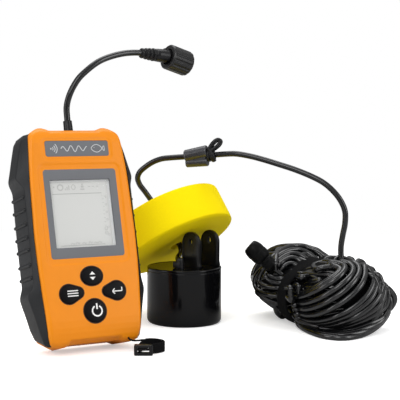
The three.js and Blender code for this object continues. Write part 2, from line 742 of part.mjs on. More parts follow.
// A round-topped plate on the cap and the cutter for its hole.
function lug(offsetAcross) {
  const { thickness, half } = LUG;
  const arcZ = LUG.top - half;
  const arc = Array.from({ length: 11 }, (_, i) => {
    const angle = Math.PI - (Math.PI * i) / 10;
    return [half * Math.cos(angle), arcZ + half * Math.sin(angle)];
  });
  const outline = [
    [-8.6, 37], [-8.6, 39.6], [-half, 41], ...arc, [half, 41], [8.6, 39.6], [8.6, 37],
  ];
  const plate = extruded(outline.reverse(), thickness).translate(0, 0, -thickness / 2);
  const hole = new THREE.CylinderGeometry(LUG.holeRadius, LUG.holeRadius, 10, 16);
  hole.rotateX(Math.PI / 2);
  hole.translate(0, LUG.holeZ, 0);
  const centre = PUCK_AT.clone()
    .addScaledVector(LUG.across, offsetAcross)
    .addScaledVector(LUG.along, -7.2);
  const toWorld = new THREE.Matrix4()
    .makeBasis(LUG.along, Z_AXIS, LUG.across)
    .setPosition(centre);
  return { plate: solid(plate.applyMatrix4(toWorld)), hole: solid(hole.applyMatrix4(toWorld)) };
}

function transducerCap() {
  const lugs = [-0.4, 18.1].map(lug);
  // keeps the lugs inside the cap's round edge
  const trim = rod(PUCK_AT, Z_AXIS, PUCK.radius - 0.1, [30, 80], 40);
  return cut(
    join(
      turned(CAP_PROFILE, PUCK_AT, Z_AXIS, 40),
      ...lugs.map(({ plate }) => plate.intersect(trim)),
    ),
    ...lugs.map(({ hole }) => hole),
  );
}

const GLAND_PROFILE = [[0, 38.7], [2.4, 38.7], [2.4, 43.8], [1.9, 44.6], [0, 44.6]];

add("transducer_cup", turned(CUP_PROFILE, PUCK_AT, Z_AXIS, 40), "gloss_black");
add("piezo_disc", rod(PUCK_AT, Z_AXIS, 17, [3.5, 8.6], 24), "ceramic");
add("absorber_disc", rod(PUCK_AT, Z_AXIS, 19, [8.9, 11.9], 24), "cork");
add("potting", rod(PUCK_AT, Z_AXIS, 22.7, [12.2, 32.8], 28), "resin");
add("transducer_cap", transducerCap(), "gloss_black");
add("cable_gland", turned(GLAND_PROFILE, vec(86.9, 61.4, 0), Z_AXIS, 14), "soft_black");

// ---------------------------------------------------------------- float and its cable
const FLOAT = { radius: 42.7, thickness: 26, bore: 5.5, edge: 1.2 };
FLOAT.at = vec(97.7, 85.67, 50.33);
FLOAT.axis = unit(-0.2078, 0.525, 0.8253);

function float() {
  const { radius, thickness, bore, edge } = FLOAT;
  const profile = [
    [bore, 0], [radius - edge, 0], [radius, edge], [radius, thickness - edge],
    [radius - edge, thickness], [bore, thickness], [bore, 0],
  ];
  return turned(profile, FLOAT.at, FLOAT.axis, 40);
}

// The cable's line through the float, and its straight run through the stopper.
const inFloat = line(vec(99.56, 84.85, 49.49), unit(-11.5, 19.3, 29.2));
const RUN = { start: vec(93.1, 88.8, 111.7), direction: unit(0.69, -0.722, 0.083) };
const onRun = line(RUN.start, RUN.direction);
const RUN_END = 36.5; // where the float cable meets the lead cable
const CABLE_END_GAP = 0.2; // each cable stops this far from the meeting point

const FLOAT_CABLE_PATH = [
  [89.5, 64.4, 42.0], [89.9, 70.0, 43.0], [93.4, 76.0, 44.0], [98.0, 81.2, 45.9],
  ...[0, 12, 24, 36.5].map(inFloat),
  [82.4, 106.4, 87.3], [78.9, 107.8, 92.4], [77.1, 107.3, 96.9], [77.6, 105.3, 101.0],
  [80.4, 102.2, 104.8], [84.6, 97.9, 108.6], [89, 93.2, 110.9],
  ...[0, 12, 24, RUN_END - CABLE_END_GAP].map(onRun),
];
const LEAD_CABLE_PATH = [
  onRun(RUN_END + CABLE_END_GAP), onRun(40),
  [125.6, 54.7, 115.3], [132.7, 47.3, 113.9], [139.5, 40.2, 111.6], [146.4, 32.9, 108.8],
  [154.3, 24.6, 105.4], [162.4, 16.2, 101.0], [167.8, 10.6, 97.1], [172.3, 5.8, 91.8],
  [176.0, 2.2, 85.4], [178.3, 0.4, 78.5], [178.4, 0.2, 70.5], [177.2, 1.0, 62],
  [176.2, 1.6, 55], [176.2, 1.0, 50], [176.4, 0.4, 46.4],
];

// A barrel above a thinner lobe, joined by a web, with the cable's hole through them.
function cableStopper() {
  const barrelDirection = unit(0.672, -0.703, 0.232); // a little crooked on the cable
  const lobeDirection = unit(0.69, -0.722, 0.08);
  const centre = onRun(19.6).add(vec(-0.2, 0.2, 1.5));
  const lobeAt = centre.clone().add(vec(0.3, -0.3, -5.5));
  const webAt = centre.clone().add(vec(0, 0, -2.8));
  return cut(
    join(
      rod(centre, barrelDirection, 4.3, [-8.2, 8.2], 20),
      rod(lobeAt, lobeDirection, 2.9, [-7.4, 8.2], 14),
      rod(webAt, lobeDirection, 2.4, [-7.2, 7.6], 10),
    ),
    rod(RUN.start, RUN.direction, 2.15, [5, 34], 14),
  );
}

// A turn round the cable, and a stretched eye standing up from it.
function stopperRing() {
  const radius = 3.7;
  const thickness = 1.45;
  const turnAt = onRun(30.6).add(vec(0, 0, 0.2));
  const turn = place(torusY(radius, thickness, 8, 18), turnAt, RUN.direction);
  const eye = new THREE.TorusGeometry(radius, thickness, 8, 20);
  eye.scale(1.42, 0.86, 1.1);
  const long = unit(0.643, -0.289, 0.709);
  const short = vec(-0.25, -0.955, -0.162).cross(long).normalize();
  eye.applyMatrix4(new THREE.Matrix4().makeBasis(long, short, long.clone().cross(short)));
  eye.translate(114.3, 63.0, 121.5);
  return join(solid(turn), solid(eye));
}

add("float", float(), "yellow");
add("float_cable", tube(FLOAT_CABLE_PATH, CABLE_RADIUS, 46, 7), "cable_black");
add("cable_stopper", cableStopper(), "soft_black");
add("stopper_ring", stopperRing(), "rubber");
add("lead_cable", tube(LEAD_CABLE_PATH, CABLE_RADIUS, 34, 7), "cable_black");

// ---------------------------------------------------------------- wound cable and its strap
const END_PLUG = { head: vec(132.4, 43.3, 51.6), direction: unit(0.632, -0.414, -0.655) };

// Sections of the hank: y, centre x, half width, centre z, half height.
const STRAP_SEAT = [16.2, 171, 24.2, 23.8, 21.9];
const HANK = [
  [-36.2, 166, 8, 4.4, 2.6], [-33.6, 166, 17.0, 7.8, 6.2], [-28.5, 168.4, 22.4, 14.6, 13.0],
  [-20, 170.4, 26.4, 20.2, 18.6], [-10, 171.2, 27.8, 22.8, 21.4],
  [0, 171.6, 28.2, 23.6, 22.2], [8, 171.4, 27.4, 23.8, 22.2], [14, 171.2, 25.8, 23.8, 22.1],
  STRAP_SEAT, [25.8, 170.2, 24.0, 24.0, 21.9], [28, 169.8, 24.4, 24.2, 22.2],
  [36, 169, 24.0, 24.8, 23.2], [48, 168.5, 23.6, 25.2, 23.6], [58, 168, 22.0, 25.2, 22.6],
  [66, 167.6, 18.6, 25.0, 20.0], [72, 167.2, 14.4, 24.8, 16.2], [76.6, 167, 9, 24.4, 10],
  [79, 167, 4, 24, 4.5],
];
const LOOSE_TURN_PATH = [
  [188, 5, 40], [201.5, 1, 38.5], [208.5, -5.5, 31.5], [211.8, -10, 22],
  [210, -13.6, 12.5], [202.6, -15, 7.2], [188, -13, 8],
];

// A superellipse, fuller below than above.
function hankSection([y, centreX, halfX, centreZ, halfZ], grow = 0) {
  const ring = around(28, (angle) => {
    const cos = Math.cos(angle);
    const sin = Math.sin(angle);
    const power = sin < 0 ? 2 / 2.9 : 2 / 2.1;
    return [
      centreX + (halfX + grow) * Math.sign(cos) * Math.abs(cos) ** power,
      y,
      centreZ + (halfZ + grow) * Math.sign(sin) * Math.abs(sin) ** power,
    ];
  });
  return ring.reverse();
}

function cableCoil() {
  const bundle = loft(HANK.map((station) => hankSection(station)));
  const loose = tube(LOOSE_TURN_PATH, CABLE_RADIUS, 20, 7);
  const aboveGround = box([100, 260], [-60, 120], [0, 100]);
  const plugNest = turned(
    [[0, 6], [7.4, 6], [7.4, 12], [4.2, 31], [0, 31]],
    END_PLUG.head, END_PLUG.direction, 16,
  );
  return cut(join(bundle, loose).intersect(aboveGround), plugNest);
}

// The strap follows the drift of the hank's centre from its seat.
function coilStrap() {
  const [seatY, seatX, halfX, seatZ, halfZ] = STRAP_SEAT;
  const seat = (y) => [y, seatX - (y - seatY) / 12, halfX, seatZ + (y - seatY) / 48, halfZ];
  const band = (grow, ends) => loft(ends.map((y) => hankSection(seat(y), grow)));
  return cut(band(1.6, [16.6, 25.4]), band(0.3, [14, 28]));
}

add("cable_coil", cableCoil(), "cable_black");
add("coil_strap", coilStrap(), "strap");

// ---------------------------------------------------------------- plug on the wound cable
const END_PLUG_PROFILE = [
  [4.3, -2.6], [4.9, -2.5], [5.7, -1.7], [6.25, 0.2], [6.4, 2.2], [6.4, 9.4], [5.7, 10.8],
  [4.7, 11.4], [5.1, 14], [4.9, 18.4], [3.6, 20.8], [0, 20.8], [0, 5.2], [4.3, 5.2],
  [4.3, -2.6],
];
const { head, direction } = END_PLUG;
const endCablePath = [21.2, 25, 29.6].map(line(head, direction));
add("end_plug_shell", turned(END_PLUG_PROFILE, head, direction, 22), "soft_black");
add(
  "end_plug_insert",
  join(rod(head, direction, 4.0, [3.2, 4.9], 16), ...plugPins(head, direction, [1.2, 4.0])),
  "brass",
);
add("end_plug_cable", tube(endCablePath, CABLE_RADIUS, 3, 8), "cable_black");

export default root;
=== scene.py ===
# A portable fish finder: a handset, its plug and lanyard, a round transducer, a ring float
# and a hank of wound cable, standing on the floor in front of a pale sweep.
# Sizes are millimetres in the layout's frame: +Z up, floor at Z = 0. The handset's face looks
# towards -Y and leans back. The finished row frame is in metres, centred on the transducer.
import math
import random

import bpy
import numpy as np
from mathutils import Matrix, Vector


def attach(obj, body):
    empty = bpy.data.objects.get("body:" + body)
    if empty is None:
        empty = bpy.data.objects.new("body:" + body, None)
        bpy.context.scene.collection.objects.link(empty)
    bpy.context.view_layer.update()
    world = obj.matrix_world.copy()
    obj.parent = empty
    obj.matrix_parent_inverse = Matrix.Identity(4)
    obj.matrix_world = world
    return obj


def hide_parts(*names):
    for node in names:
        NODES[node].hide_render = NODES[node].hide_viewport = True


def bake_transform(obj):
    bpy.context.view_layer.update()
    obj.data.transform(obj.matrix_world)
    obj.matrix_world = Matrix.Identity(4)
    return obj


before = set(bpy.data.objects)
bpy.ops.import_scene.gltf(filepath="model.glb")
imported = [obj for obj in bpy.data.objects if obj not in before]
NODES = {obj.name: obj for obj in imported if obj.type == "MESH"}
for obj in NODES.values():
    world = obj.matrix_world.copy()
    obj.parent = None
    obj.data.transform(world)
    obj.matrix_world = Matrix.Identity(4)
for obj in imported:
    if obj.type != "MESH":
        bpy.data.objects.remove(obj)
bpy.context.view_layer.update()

# ---- frames
ORIGIN = np.array([94.7, 69.9, 0.0])  # row frame's origin: the transducer's axis on the floor
Z_UP = np.array([0, 0, 1.0])
LEAN = math.radians(15.73)
COS_LEAN, SIN_LEAN = math.cos(LEAN), math.sin(LEAN)
REST_Y = 24.4  # handset Y whose foot line lies on the floor
HANDSET_UP = np.array([0, SIN_LEAN, COS_LEAN])


def to_metres(points):
    return (np.atleast_2d(np.array(points, float)) - ORIGIN) / 1000.0


def on_handset(points):
    """Handset coordinates to the layout's frame, still in millimetres."""
    x, y, z = np.atleast_2d(np.array(points, float)).T
    height = z * COS_LEAN - y * SIN_LEAN + REST_Y * SIN_LEAN
    return np.stack([x, y * COS_LEAN + z * SIN_LEAN, height], -1)


# ---- numbers and directions
def smooth(share):
    share = np.clip(share, 0, 1)
    return share * share * (3 - 2 * share)


def unit(vector):
    vector = np.array(vector, float)
    return vector / np.linalg.norm(vector)


def look_up(table, at):
    """Straight-line reading of a table of (station, value) rows."""
    return np.interp(at, *np.transpose(table))


def basis(direction):
    """Two directions square to the given one, and the direction itself."""
    along = unit(direction)
    ref = (1.0, 0, 0) if abs(along[2]) > 0.95 else Z_UP
    side = unit(np.cross(ref, along))
    return side, np.cross(along, side), along


def tangents(points, closed=False):
    if closed:
        steps = np.roll(points, -1, 0) - np.roll(points, 1, 0)
    else:
        steps = np.gradient(points, axis=0)
    return steps / np.maximum(np.linalg.norm(steps, axis=1)[:, None], 1e-9)


# ---- shapes: each is (verts, faces)
def make(name, shape, mat, slot, body, angle=40, flip=False, replaces=None):
    """A mesh piece from layout millimetres, shaded smooth below the given edge angle."""
    verts, faces = shape
    if flip:
        faces = [face[::-1] for face in faces]
    mesh = bpy.data.meshes.new(name)
    mesh.from_pydata(to_metres(verts).tolist(), [], faces)
    mesh.validate()
    mesh.update()
    for polygon in mesh.polygons:
        polygon.use_smooth = True
    mesh.set_sharp_from_angle(angle=math.radians(angle))
    mesh.materials.append(mat)
    piece = bpy.data.objects.new(name, mesh)
    bpy.context.scene.collection.objects.link(piece)
    if body:
        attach(piece, body)
    if replaces:
        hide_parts(replaces)
    return piece


def handset_piece(name, shape, mat, slot, body="handset", **options):
    """A piece whose shape is in handset coordinates."""
    return make(name, (on_handset(shape[0]), shape[1]), mat, slot, body, **options)


def merge(shapes):
    all_verts, all_faces, start = [], [], 0
    for verts, faces in shapes:
        all_verts.append(np.asarray(verts, float))
        all_faces += [tuple(i + start for i in face) for face in faces]
        start += len(verts)
    return np.concatenate(all_verts), all_faces


def placed(shape, centre, axes):
    """A shape turned so that its X, Y and Z follow the given axes, then moved to centre."""
    return shape[0] @ np.array(axes) + centre, shape[1]


def skin(rings, closed=True, caps=False, wrap=False):
    """Quads between rings of equal length; closed joins each ring's ends, wrap joins the
    last ring to the first."""
    count = len(rings[0])
    verts = np.concatenate([np.asarray(ring, float) for ring in rings])
    faces = []
    for i in range(len(rings) if wrap else len(rings) - 1):
        this, following = i * count, (i + 1) % len(rings) * count
        for j in range(count if closed else count - 1):
            k = (j + 1) % count
            faces.append((this + j, this + k, following + k, following + j))
    if caps:
        faces.append(tuple(reversed(range(count))))
        faces.append(tuple(range(len(verts) - count, len(verts))))
    return verts, faces


def circle_dirs(side, other, angles):
    return np.cos(angles)[:, None] * side + np.sin(angles)[:, None] * other


def lathe(profile, start, direction, seg, flute=None):
    """Turns (radius, distance) pairs about an axis; flute(angles, radius, distance) can
    change the radius round the turn."""
    side, other, along = basis(direction)
    start = np.array(start, float)
    angles = np.linspace(0, 2 * math.pi, seg, endpoint=False)
    around = circle_dirs(side, other, angles)
    rings = []
    for radius, distance in profile:
        radii = flute(angles, radius, distance)[:, None] if flute else radius
        rings.append(start + distance * along + radii * around)
    return skin(rings)


def rounded(profile, radii, steps=5):
    """Rounds the corners of an open profile by one radius, or by one for each point."""
    points = [np.array(point, float) for point in profile]
    out = [points[0]]
    for i in range(1, len(points) - 1):
        radius = radii[i] if isinstance(radii, list) else radii
        before, corner, after = points[i - 1:i + 2]
        length_in, length_out = np.linalg.norm(before - corner), np.linalg.norm(after - corner)
        cut = min(radius, length_in * 0.45, length_out * 0.45)
        if cut < 1e-4:
            out.append(corner)
            continue
        first = corner + (before - corner) / length_in * cut
        last = corner + (after - corner) / length_out * cut
        for k in range(steps + 1):
            s = k / steps
            out.append((1 - s) ** 2 * first + 2 * s * (1 - s) * corner + s * s * last)
    out.append(points[-1])
    return out


def respace(points, count, endpoint=False):
    """count points evenly spaced along a polyline."""
    steps = np.linalg.norm(np.diff(points, axis=0), axis=1)
    reach = np.concatenate([[0], np.cumsum(steps)])
    stations = np.linspace(0, reach[-1], count, endpoint=endpoint)
    return np.stack([np.interp(stations, reach, column) for column in points.T], -1)


def between(time, time0, point0, time1, point1):
    span = time1 - time0
    return (time1 - time) / span * point0 + (time - time0) / span * point1


def curve(points, count, closed=False):
    """count evenly spaced points along a centripetal Catmull-Rom curve through points."""
    knots = [np.array(point, float) for point in points]
    if closed:
        knots = [knots[-1]] + knots + knots[:2]
    else:
        knots = [2 * knots[0] - knots[1]] + knots + [2 * knots[-1] - knots[-2]]
    dense = []
    for i in range(1, len(knots) - 2):
        four = knots[i - 1:i + 3]
        times = [0.0]
        for start, end in zip(four, four[1:]):
            times.append(times[-1] + max(np.linalg.norm(end - start), 1e-6) ** 0.5)
        for time in np.linspace(times[1], times[2], 24, endpoint=False):
            three = [between(time, times[k], four[k], times[k + 1], four[k + 1])
                     for k in range(3)]
            two = [between(time, times[k], three[k], times[k + 2], three[k + 1])
                   for k in range(2)]
            dense.append(between(time, times[1], two[0], times[2], two[1]))
    dense.append(knots[-2])
    return respace(np.array(dense), count, endpoint=not closed)


def sweep(points, radius, seg, count, closed=False):
    """A round bar along a curve through points."""
    centres = curve(points, count, closed)
    dirs = tangents(centres, closed)
    side = basis(dirs[0])[0]
    sides = []
    for along in dirs:
        side = unit(side - (side @ along) * along)
        sides.append(side)
    twist = 0.0
    if closed:  # spread the twist left over at the join
        first, last = sides[0], sides[-1]
        twist = math.atan2(last @ np.cross(dirs[0], first), last @ first)
    angles = np.linspace(0, 2 * math.pi, seg, endpoint=False)
    rings = []
    for i, (centre, along, side) in enumerate(zip(centres, dirs, sides)):
        around = circle_dirs(side, np.cross(along, side), angles - twist * i / count)
        rings.append(centre + radius * around)
    return skin(rings, caps=not closed, wrap=closed)


def edge_layers(radius, face, inward=1, steps=4):
    """(inset, level) pairs round a quarter circle, from the flat face at level face to the
    side wall. inward is the sign of the level's change from the face into the piece."""
    return [(radius * (1 - math.sin(a)), face + inward * radius * (1 - math.cos(a)))
            for a in np.linspace(0, math.pi / 2, steps + 1)]


def block(centre, size, axes, radius):
    """A rounded box: size along each of three axes."""
    half_x, half_y, half_z = [length / 2 for length in size]
    outline = rounded_rect(-half_x, half_x, -half_y, half_y, radius, 3)
    layers = (edge_layers(radius, -half_z, 1, 3)
              + edge_layers(radius, half_z, -1, 3)[::-1])
    rings = [[(x * (1 - inset / half_x), y * (1 - inset / half_y), level) for x, y in outline]
             for inset, level in layers]
    return placed(skin(rings, caps=True), centre, [unit(axis) for axis in axes])


# ---- outlines: anticlockwise loops of (x, z)
def rounded_rect(x0, x1, z0, z1, radius, steps=5):
    corners = ((x1 - radius, z1 - radius, 0), (x0 + radius, z1 - radius, 90),
               (x0 + radius, z0 + radius, 180), (x1 - radius, z0 + radius, 270))
    points = []
    for x, z, start in corners:
        points += circle_points(x, z, radius, start, start + 90, steps + 1)
    return points


def circle_points(x, z, radius, start, end, count):
    """count points along an arc between two angles in degrees."""
    return [(x + radius * math.cos(a), z + radius * math.sin(a))
            for a in np.radians(np.linspace(start, end, count))]


def ellipse(centre_x, centre_z, half_x, half_z):
    return [(centre_x + half_x * math.cos(a), centre_z + half_z * math.sin(a))
            for a in np.linspace(0, 2 * math.pi, 72, endpoint=False)]


def hull_chain(points):
    """One side of the convex hull of sorted points, without its last point."""
    chain = []
    for x, z in points:
        while len(chain) > 1:
            (x0, z0), (x1, z1) = chain[-2:]
            if (x1 - x0) * (z - z0) - (z1 - z0) * (x - x0) > 1e-9:
                break
            chain.pop()
        chain.append((x, z))
    return chain[:-1]


def teardrop(centre1, radius1, centre2, radius2):
    """96 evenly spaced points on the outline round two circles."""
    points = []
    for (x, z), radius in ((centre1, radius1), (centre2, radius2)):
        for i in range(120):
            a = 2 * math.pi * i / 120
            points.append((x + radius * math.cos(a), z + radius * math.sin(a)))
    points.sort()
    hull = hull_chain(points) + hull_chain(points[::-1])
    return respace(np.array(hull + hull[:1]), 96)


def inset_loop(loop, inset):
    """A loop moved inwards along its own normals."""
    loop = np.array(loop, float)
    along = tangents(loop, closed=True)
    return loop + inset * np.stack([-along[:, 1], along[:, 0]], -1)


def stack(loop, layers):
    """A ring (x, level, z) over the loop for each (inset, level)."""
    rings = []
    for inset, level in layers:
        x, z = inset_loop(loop, inset).T
        rings.append(np.stack([x, np.full(len(x), level), z], -1))
    return rings


def shrink(rect, inset):
    x0, x1, z0, z1 = rect
    return x0 + inset, x1 - inset, z0 + inset, z1 - inset


# ---- materials
def feed(tree, node, inputs):
    """Sets each input to a value, or links it from a socket or a node's first output."""
    for key, value in inputs.items():
        if isinstance(value, bpy.types.Node):
            value = value.outputs[0]
        if isinstance(value, bpy.types.NodeSocket):
            tree.links.new(value, node.inputs[key])
        else:
            node.inputs[key].default_value = value


def add_node(tree, kind, inputs={}, **settings):
    node = tree.nodes.new("ShaderNode" + kind)
    for key, value in settings.items():
        setattr(node, key, value)
    feed(tree, node, inputs)
    return node


def multiply(tree, first, second):
    return add_node(tree, "Math", {0: first, 1: second}, operation="MULTIPLY")


def material(name, color, rough, metal=0.0, spec=0.5, bump=None, vary=0.06, vary_scale=120,
             rough_vary=0.08):
    """A plain surface with noise in its colour and roughness. vary and rough_vary are the
    noise's reach either way; bump is (noise scale, strength, distance in metres)."""
    mat = bpy.data.materials.new(name)
    mat.use_nodes = True
    tree = mat.node_tree
    surface = tree.nodes["Principled BSDF"]
    coords = add_node(tree, "TexCoord").outputs["Object"]
    noise = add_node(tree, "TexNoise", {"Vector": coords, "Scale": vary_scale, "Detail": 5})
    color = np.array(color)
    tint = add_node(tree, "Mix", {
        "Factor": noise,
        "A": (*np.clip(color * (1 - vary), 0, 1), 1),
        "B": (*np.clip(color * (1 + vary), 0, 1), 1),
    }, data_type="RGBA")
    roughness = add_node(tree, "MapRange", {
        "Value": noise,
        "To Min": max(rough - rough_vary, 0.02),
        "To Max": min(rough + rough_vary, 1),
    })
    feed(tree, surface, {
        "Metallic": metal, "Specular IOR Level": spec, "Coat Roughness": 0.08,
        "Base Color": tint.outputs["Result"], "Roughness": roughness,
    })
    if bump:
        scale, strength, distance = bump
        grain = add_node(tree, "TexNoise", {"Vector": coords, "Scale": scale, "Detail": 3})
        relief = add_node(tree, "Bump", {
            "Height": grain, "Strength": strength, "Distance": distance})
        feed(tree, surface, {"Normal": relief})
    return mat


ORANGE = material("orange_plastic", (0.82, 0.252, 0.004), rough=0.4, spec=0.24,
                  bump=(2600, 0.12, 0.00004), vary=0.03)
GRIP = material("grip_rubber", (0.011, 0.0118, 0.0135), rough=0.44, spec=0.27,
                bump=(3200, 0.5, 0.00006), vary=0.25, vary_scale=400)
BLACK = material("black_plastic", (0.006, 0.006, 0.0068), rough=0.34, spec=0.26,
                 bump=(2400, 0.2, 0.00004), vary=0.2)
PLUG = material("plug_plastic", (0.0022, 0.0023, 0.0024), rough=0.45, spec=0.1, vary=0.2)
SLEEVE = material("sleeve_plastic", (0.016, 0.0165, 0.021), rough=0.3, spec=0.85, vary=0.15)
NUT = material("nut_plastic", (0.009, 0.009, 0.0095), rough=0.36, spec=0.4,
               bump=(2400, 0.25, 0.00004), vary=0.2)
KEY = material("key_plastic", (0.0028, 0.0024, 0.0034), rough=0.42, spec=0.1,
               bump=(3000, 0.2, 0.00003), vary=0.2)
# painted shade: the dark brown of the recess round each key
KEY_RECESS_SHADE = material("key_recess_shade", (0.05, 0.02, 0.006), rough=0.6, vary=0.2)
BEZEL = material("bezel_plastic", (0.155, 0.16, 0.172), rough=0.55, spec=0.2,
                 bump=(3500, 0.1, 0.00003), vary=0.05)
# painted highlight: the light grey of the lit slope inside the window
BEZEL_STEP_HIGHLIGHT = material("bezel_step_highlight", (0.72, 0.73, 0.73), rough=0.45, vary=0.05)
# painted shade: the dark brown of the gaps round the bezel and the badge
GAP_SHADE = material("gap_shade", (0.16, 0.07, 0.02), rough=0.7, vary=0.1)
LCD = material("lcd_glass", (0.62, 0.625, 0.607), rough=0.35, spec=0.3, vary=0.035,
               vary_scale=2600, bump=(900, 0.05, 0.00003))
LCD_MARK = material("lcd_mark", (0.47, 0.475, 0.46), rough=0.4, vary=0.06)
LCD_LINE = material("lcd_line", (0.30, 0.31, 0.30), rough=0.4, vary=0.06)
PRINT = material("badge_print", (0.52, 0.53, 0.54), rough=0.5, vary=0.04)
KEY_PRINT = material("key_print", (0.83, 0.83, 0.82), rough=0.5, vary=0.03)
WHITE = material("white_plastic", (0.78, 0.78, 0.76), rough=0.5, vary=0.03)
BOARD = material("board", (0.015, 0.12, 0.045), rough=0.4, vary=0.2, vary_scale=300)
RUBBER = material("seal_rubber", (0.03, 0.03, 0.032), rough=0.7, vary=0.2)
STEEL = material("steel", (0.6, 0.6, 0.62), rough=0.28, metal=1.0, vary=0.05)
BRASS = material("contact_brass", (0.75, 0.55, 0.22), rough=0.25, metal=1.0, vary=0.06)
CELL = material("cell_jacket", (0.05, 0.16, 0.4), rough=0.3, metal=0.4, vary=0.15)
CABLE = material("cable_jacket", (0.0045, 0.0047, 0.0054), rough=0.22, spec=0.5, vary=0.15,
                 rough_vary=0.03)
STRAND = material("strand_jacket", (0.0018, 0.002, 0.0026), rough=0.24, spec=0.68, vary=0.2,
                  rough_vary=0.04)
STRAP = material("webbing", (0.0062, 0.0062, 0.0066), rough=0.95, spec=0.06,
                 bump=(2600, 0.9, 0.0002), vary=0.35, vary_scale=1500)
GLOSS = material("transducer_shell", (0.0025, 0.0025, 0.003), rough=0.13, spec=0.2,
                 vary=0.2, rough_vary=0.03, bump=(60, 0.05, 0.0002))
LUG = material("lug_moulding", (0.005, 0.005, 0.0055), rough=0.32, spec=0.3, vary=0.2,
               bump=(900, 0.1, 0.00006))
RESIN = material("resin", (0.05, 0.04, 0.03), rough=0.35, vary=0.2)
CORK = material("cork", (0.33, 0.19, 0.08), rough=0.85, vary=0.35, vary_scale=900)
CERAMIC = material("ceramic", (0.7, 0.62, 0.42), rough=0.5, vary=0.08)
YELLOW = material("yellow_foam", (0.96, 0.745, 0.003), rough=0.8, spec=0.05,
                  bump=(1500, 0.5, 0.00012), vary=0.05, vary_scale=900)


def lens_material():
    mat = bpy.data.materials.new("clear_plastic")
    mat.use_nodes = True
    tree = mat.node_tree
    tree.nodes.clear()
    coords = add_node(tree, "TexCoord").outputs["Object"]
    noise = add_node(tree, "TexNoise", {"Vector": coords, "Scale": 40})
    roughness = add_node(tree, "MapRange", {"Value": noise, "To Min": 0.03, "To Max": 0.09})
    gloss = add_node(tree, "BsdfGlossy", {"Roughness": roughness})
    clear = add_node(tree, "BsdfTransparent")
    fresnel = add_node(tree, "Fresnel", {"IOR": 1.3})
    # only the outer face mirrors, so a low view still sees in
    inside = add_node(tree, "NewGeometry").outputs["Backfacing"]
    outside = add_node(tree, "Math", {0: 1.0, 1: inside}, operation="SUBTRACT")
    share = multiply(tree, fresnel, outside)
    mix = add_node(tree, "MixShader", {"Fac": share, 1: clear, 2: gloss})
    add_node(tree, "OutputMaterial", {"Surface": mix})
    return mat


LENS = lens_material()

# ---- looks of the CAD pieces; any not listed are black plastic
CAD_LOOKS = (
    (ORANGE, "rear_shell battery_door front_shell"),
    (RUBBER, "shell_gasket connector_strip key_mat plug_core plug_seal_ring stopper_ring"),
    (GRIP, "left_grip right_grip"),
    (BEZEL, "window_bezel name_badge"),
    (LENS, "window_lens"),
    (LCD, "lcd_glass"),
    (WHITE, "lcd_frame backlight"),
    (KEY, "key_unit key_menu key_enter key_power"),
    (BOARD, "main_board"),
    (STEEL, "lower_contact upper_contact"),
    (CABLE, "pigtail_cable float_cable lead_cable end_plug_cable"),
    (BRASS, "plug_pins end_plug_insert"),
    (NUT, "coupling_nut"),
    (STRAP, "lanyard_cord lanyard_strap coil_strap"),
    (GLOSS, "transducer_cup transducer_cap"),
    (CERAMIC, "piezo_disc"),
    (CORK, "absorber_disc"),
    (RESIN, "potting"),
    (YELLOW, "float"),
    (STRAND, "cable_coil"),
)
look_of = {part: mat for mat, parts in CAD_LOOKS for part in parts.split()}
for name, node in NODES.items():
    if name.startswith("cell_"):
        look = CELL
    elif name.startswith("case_screw"):
        look = STEEL
    else:
        look = look_of.get(name, BLACK)
    node.data.materials.clear()
    node.data.materials.append(look)
for name in ("rear_shell", "battery_door", "battery_tray"):
    bevel = NODES[name].modifiers.new("edge", "BEVEL")
    bevel.width = 0.0004
    bevel.segments = 3
    bevel.limit_method = "ANGLE"
    bevel.angle_limit = math.radians(35)
    bevel.use_clamp_overlap = True

# ---- casing front, in handset coordinates: X across, Y from face to back, Z up
# rectangles are (x0, x1, z0, z1)
BEZEL_RECT = (-23.7, 23.7, 51.8, 106.1)
OPENING_RECT = (-19.8, 19.2, 58.4, 99.6)
WINDOW_CUT = (-20.4, 20.4, 57.3, 100.7)
WINDOW_FIELD = (-26.6, 26.4, 48.4, 109.4)
BADGE_RECT = (-20.7, 20.7, 114.0, 123.6)
BADGE_FIELD = (-22.6, 22.6, 112.2, 125.4)
SEAT_INSET = 0.5  # the recess under the bezel and badge is this much smaller
EDGE_ROUND = 2.6
WALL_END_Y, LIP_Y = 12.6, 12.9

# right half of the front's outline from the bottom middle to the top middle: x, z
CASE_HALF = [
    (0, 1.5), (15, 1.5), (16.5, 1.3), (19, 0.2), (20.5, 0), (25, 0), (27, 0.9), (28.3, 2.5),
    (29.4, 7), (30.6, 20), (31.8, 35), (32.5, 50), (32.8, 66), (32.4, 85), (32, 100),
    (31.6, 108), (30.8, 117), (29.8, 125.2), (29.2, 127.8), (27.4, 130), (23.6, 132.4),
    (21.6, 133.1), (19.4, 133.1), (17.6, 132.3), (16, 131.7), (13, 131.6), (0, 131.6),
]
# depth of the face along the casing: z, y
FACE_PROFILE = (
    (0, 3.8), (1.5, 2.7), (3, 1.75), (5, 0.9), (8, 0.0), (11, -0.5), (15, -0.8),
    (122.5, -0.8), (125, -0.5), (127.5, 0.1), (129.5, 0.8), (131.5, 2.0), (133.1, 3.3),
)
KEYS = {
    "unit": ellipse(0.2, 40.6, 6.9, 5.6),
    "menu": teardrop((-15.4, 30.7), 5.7, (-9.3, 31.3), 3.2),
    "enter": teardrop((15.4, 30.9), 5.7, (9.4, 30.9), 3.2),
    "power": ellipse(0, 19.8, 7.0, 7.0),
}


def case_outline():
    loop = CASE_HALF + [(-x, z) for x, z in CASE_HALF[-2:0:-1]]
    points = respace(np.array(loop + loop[:1], float), 720)
    for _ in range(3):
        points = (np.roll(points, 1, 0) + 2 * points + np.roll(points, -1, 0)) / 4
    return points


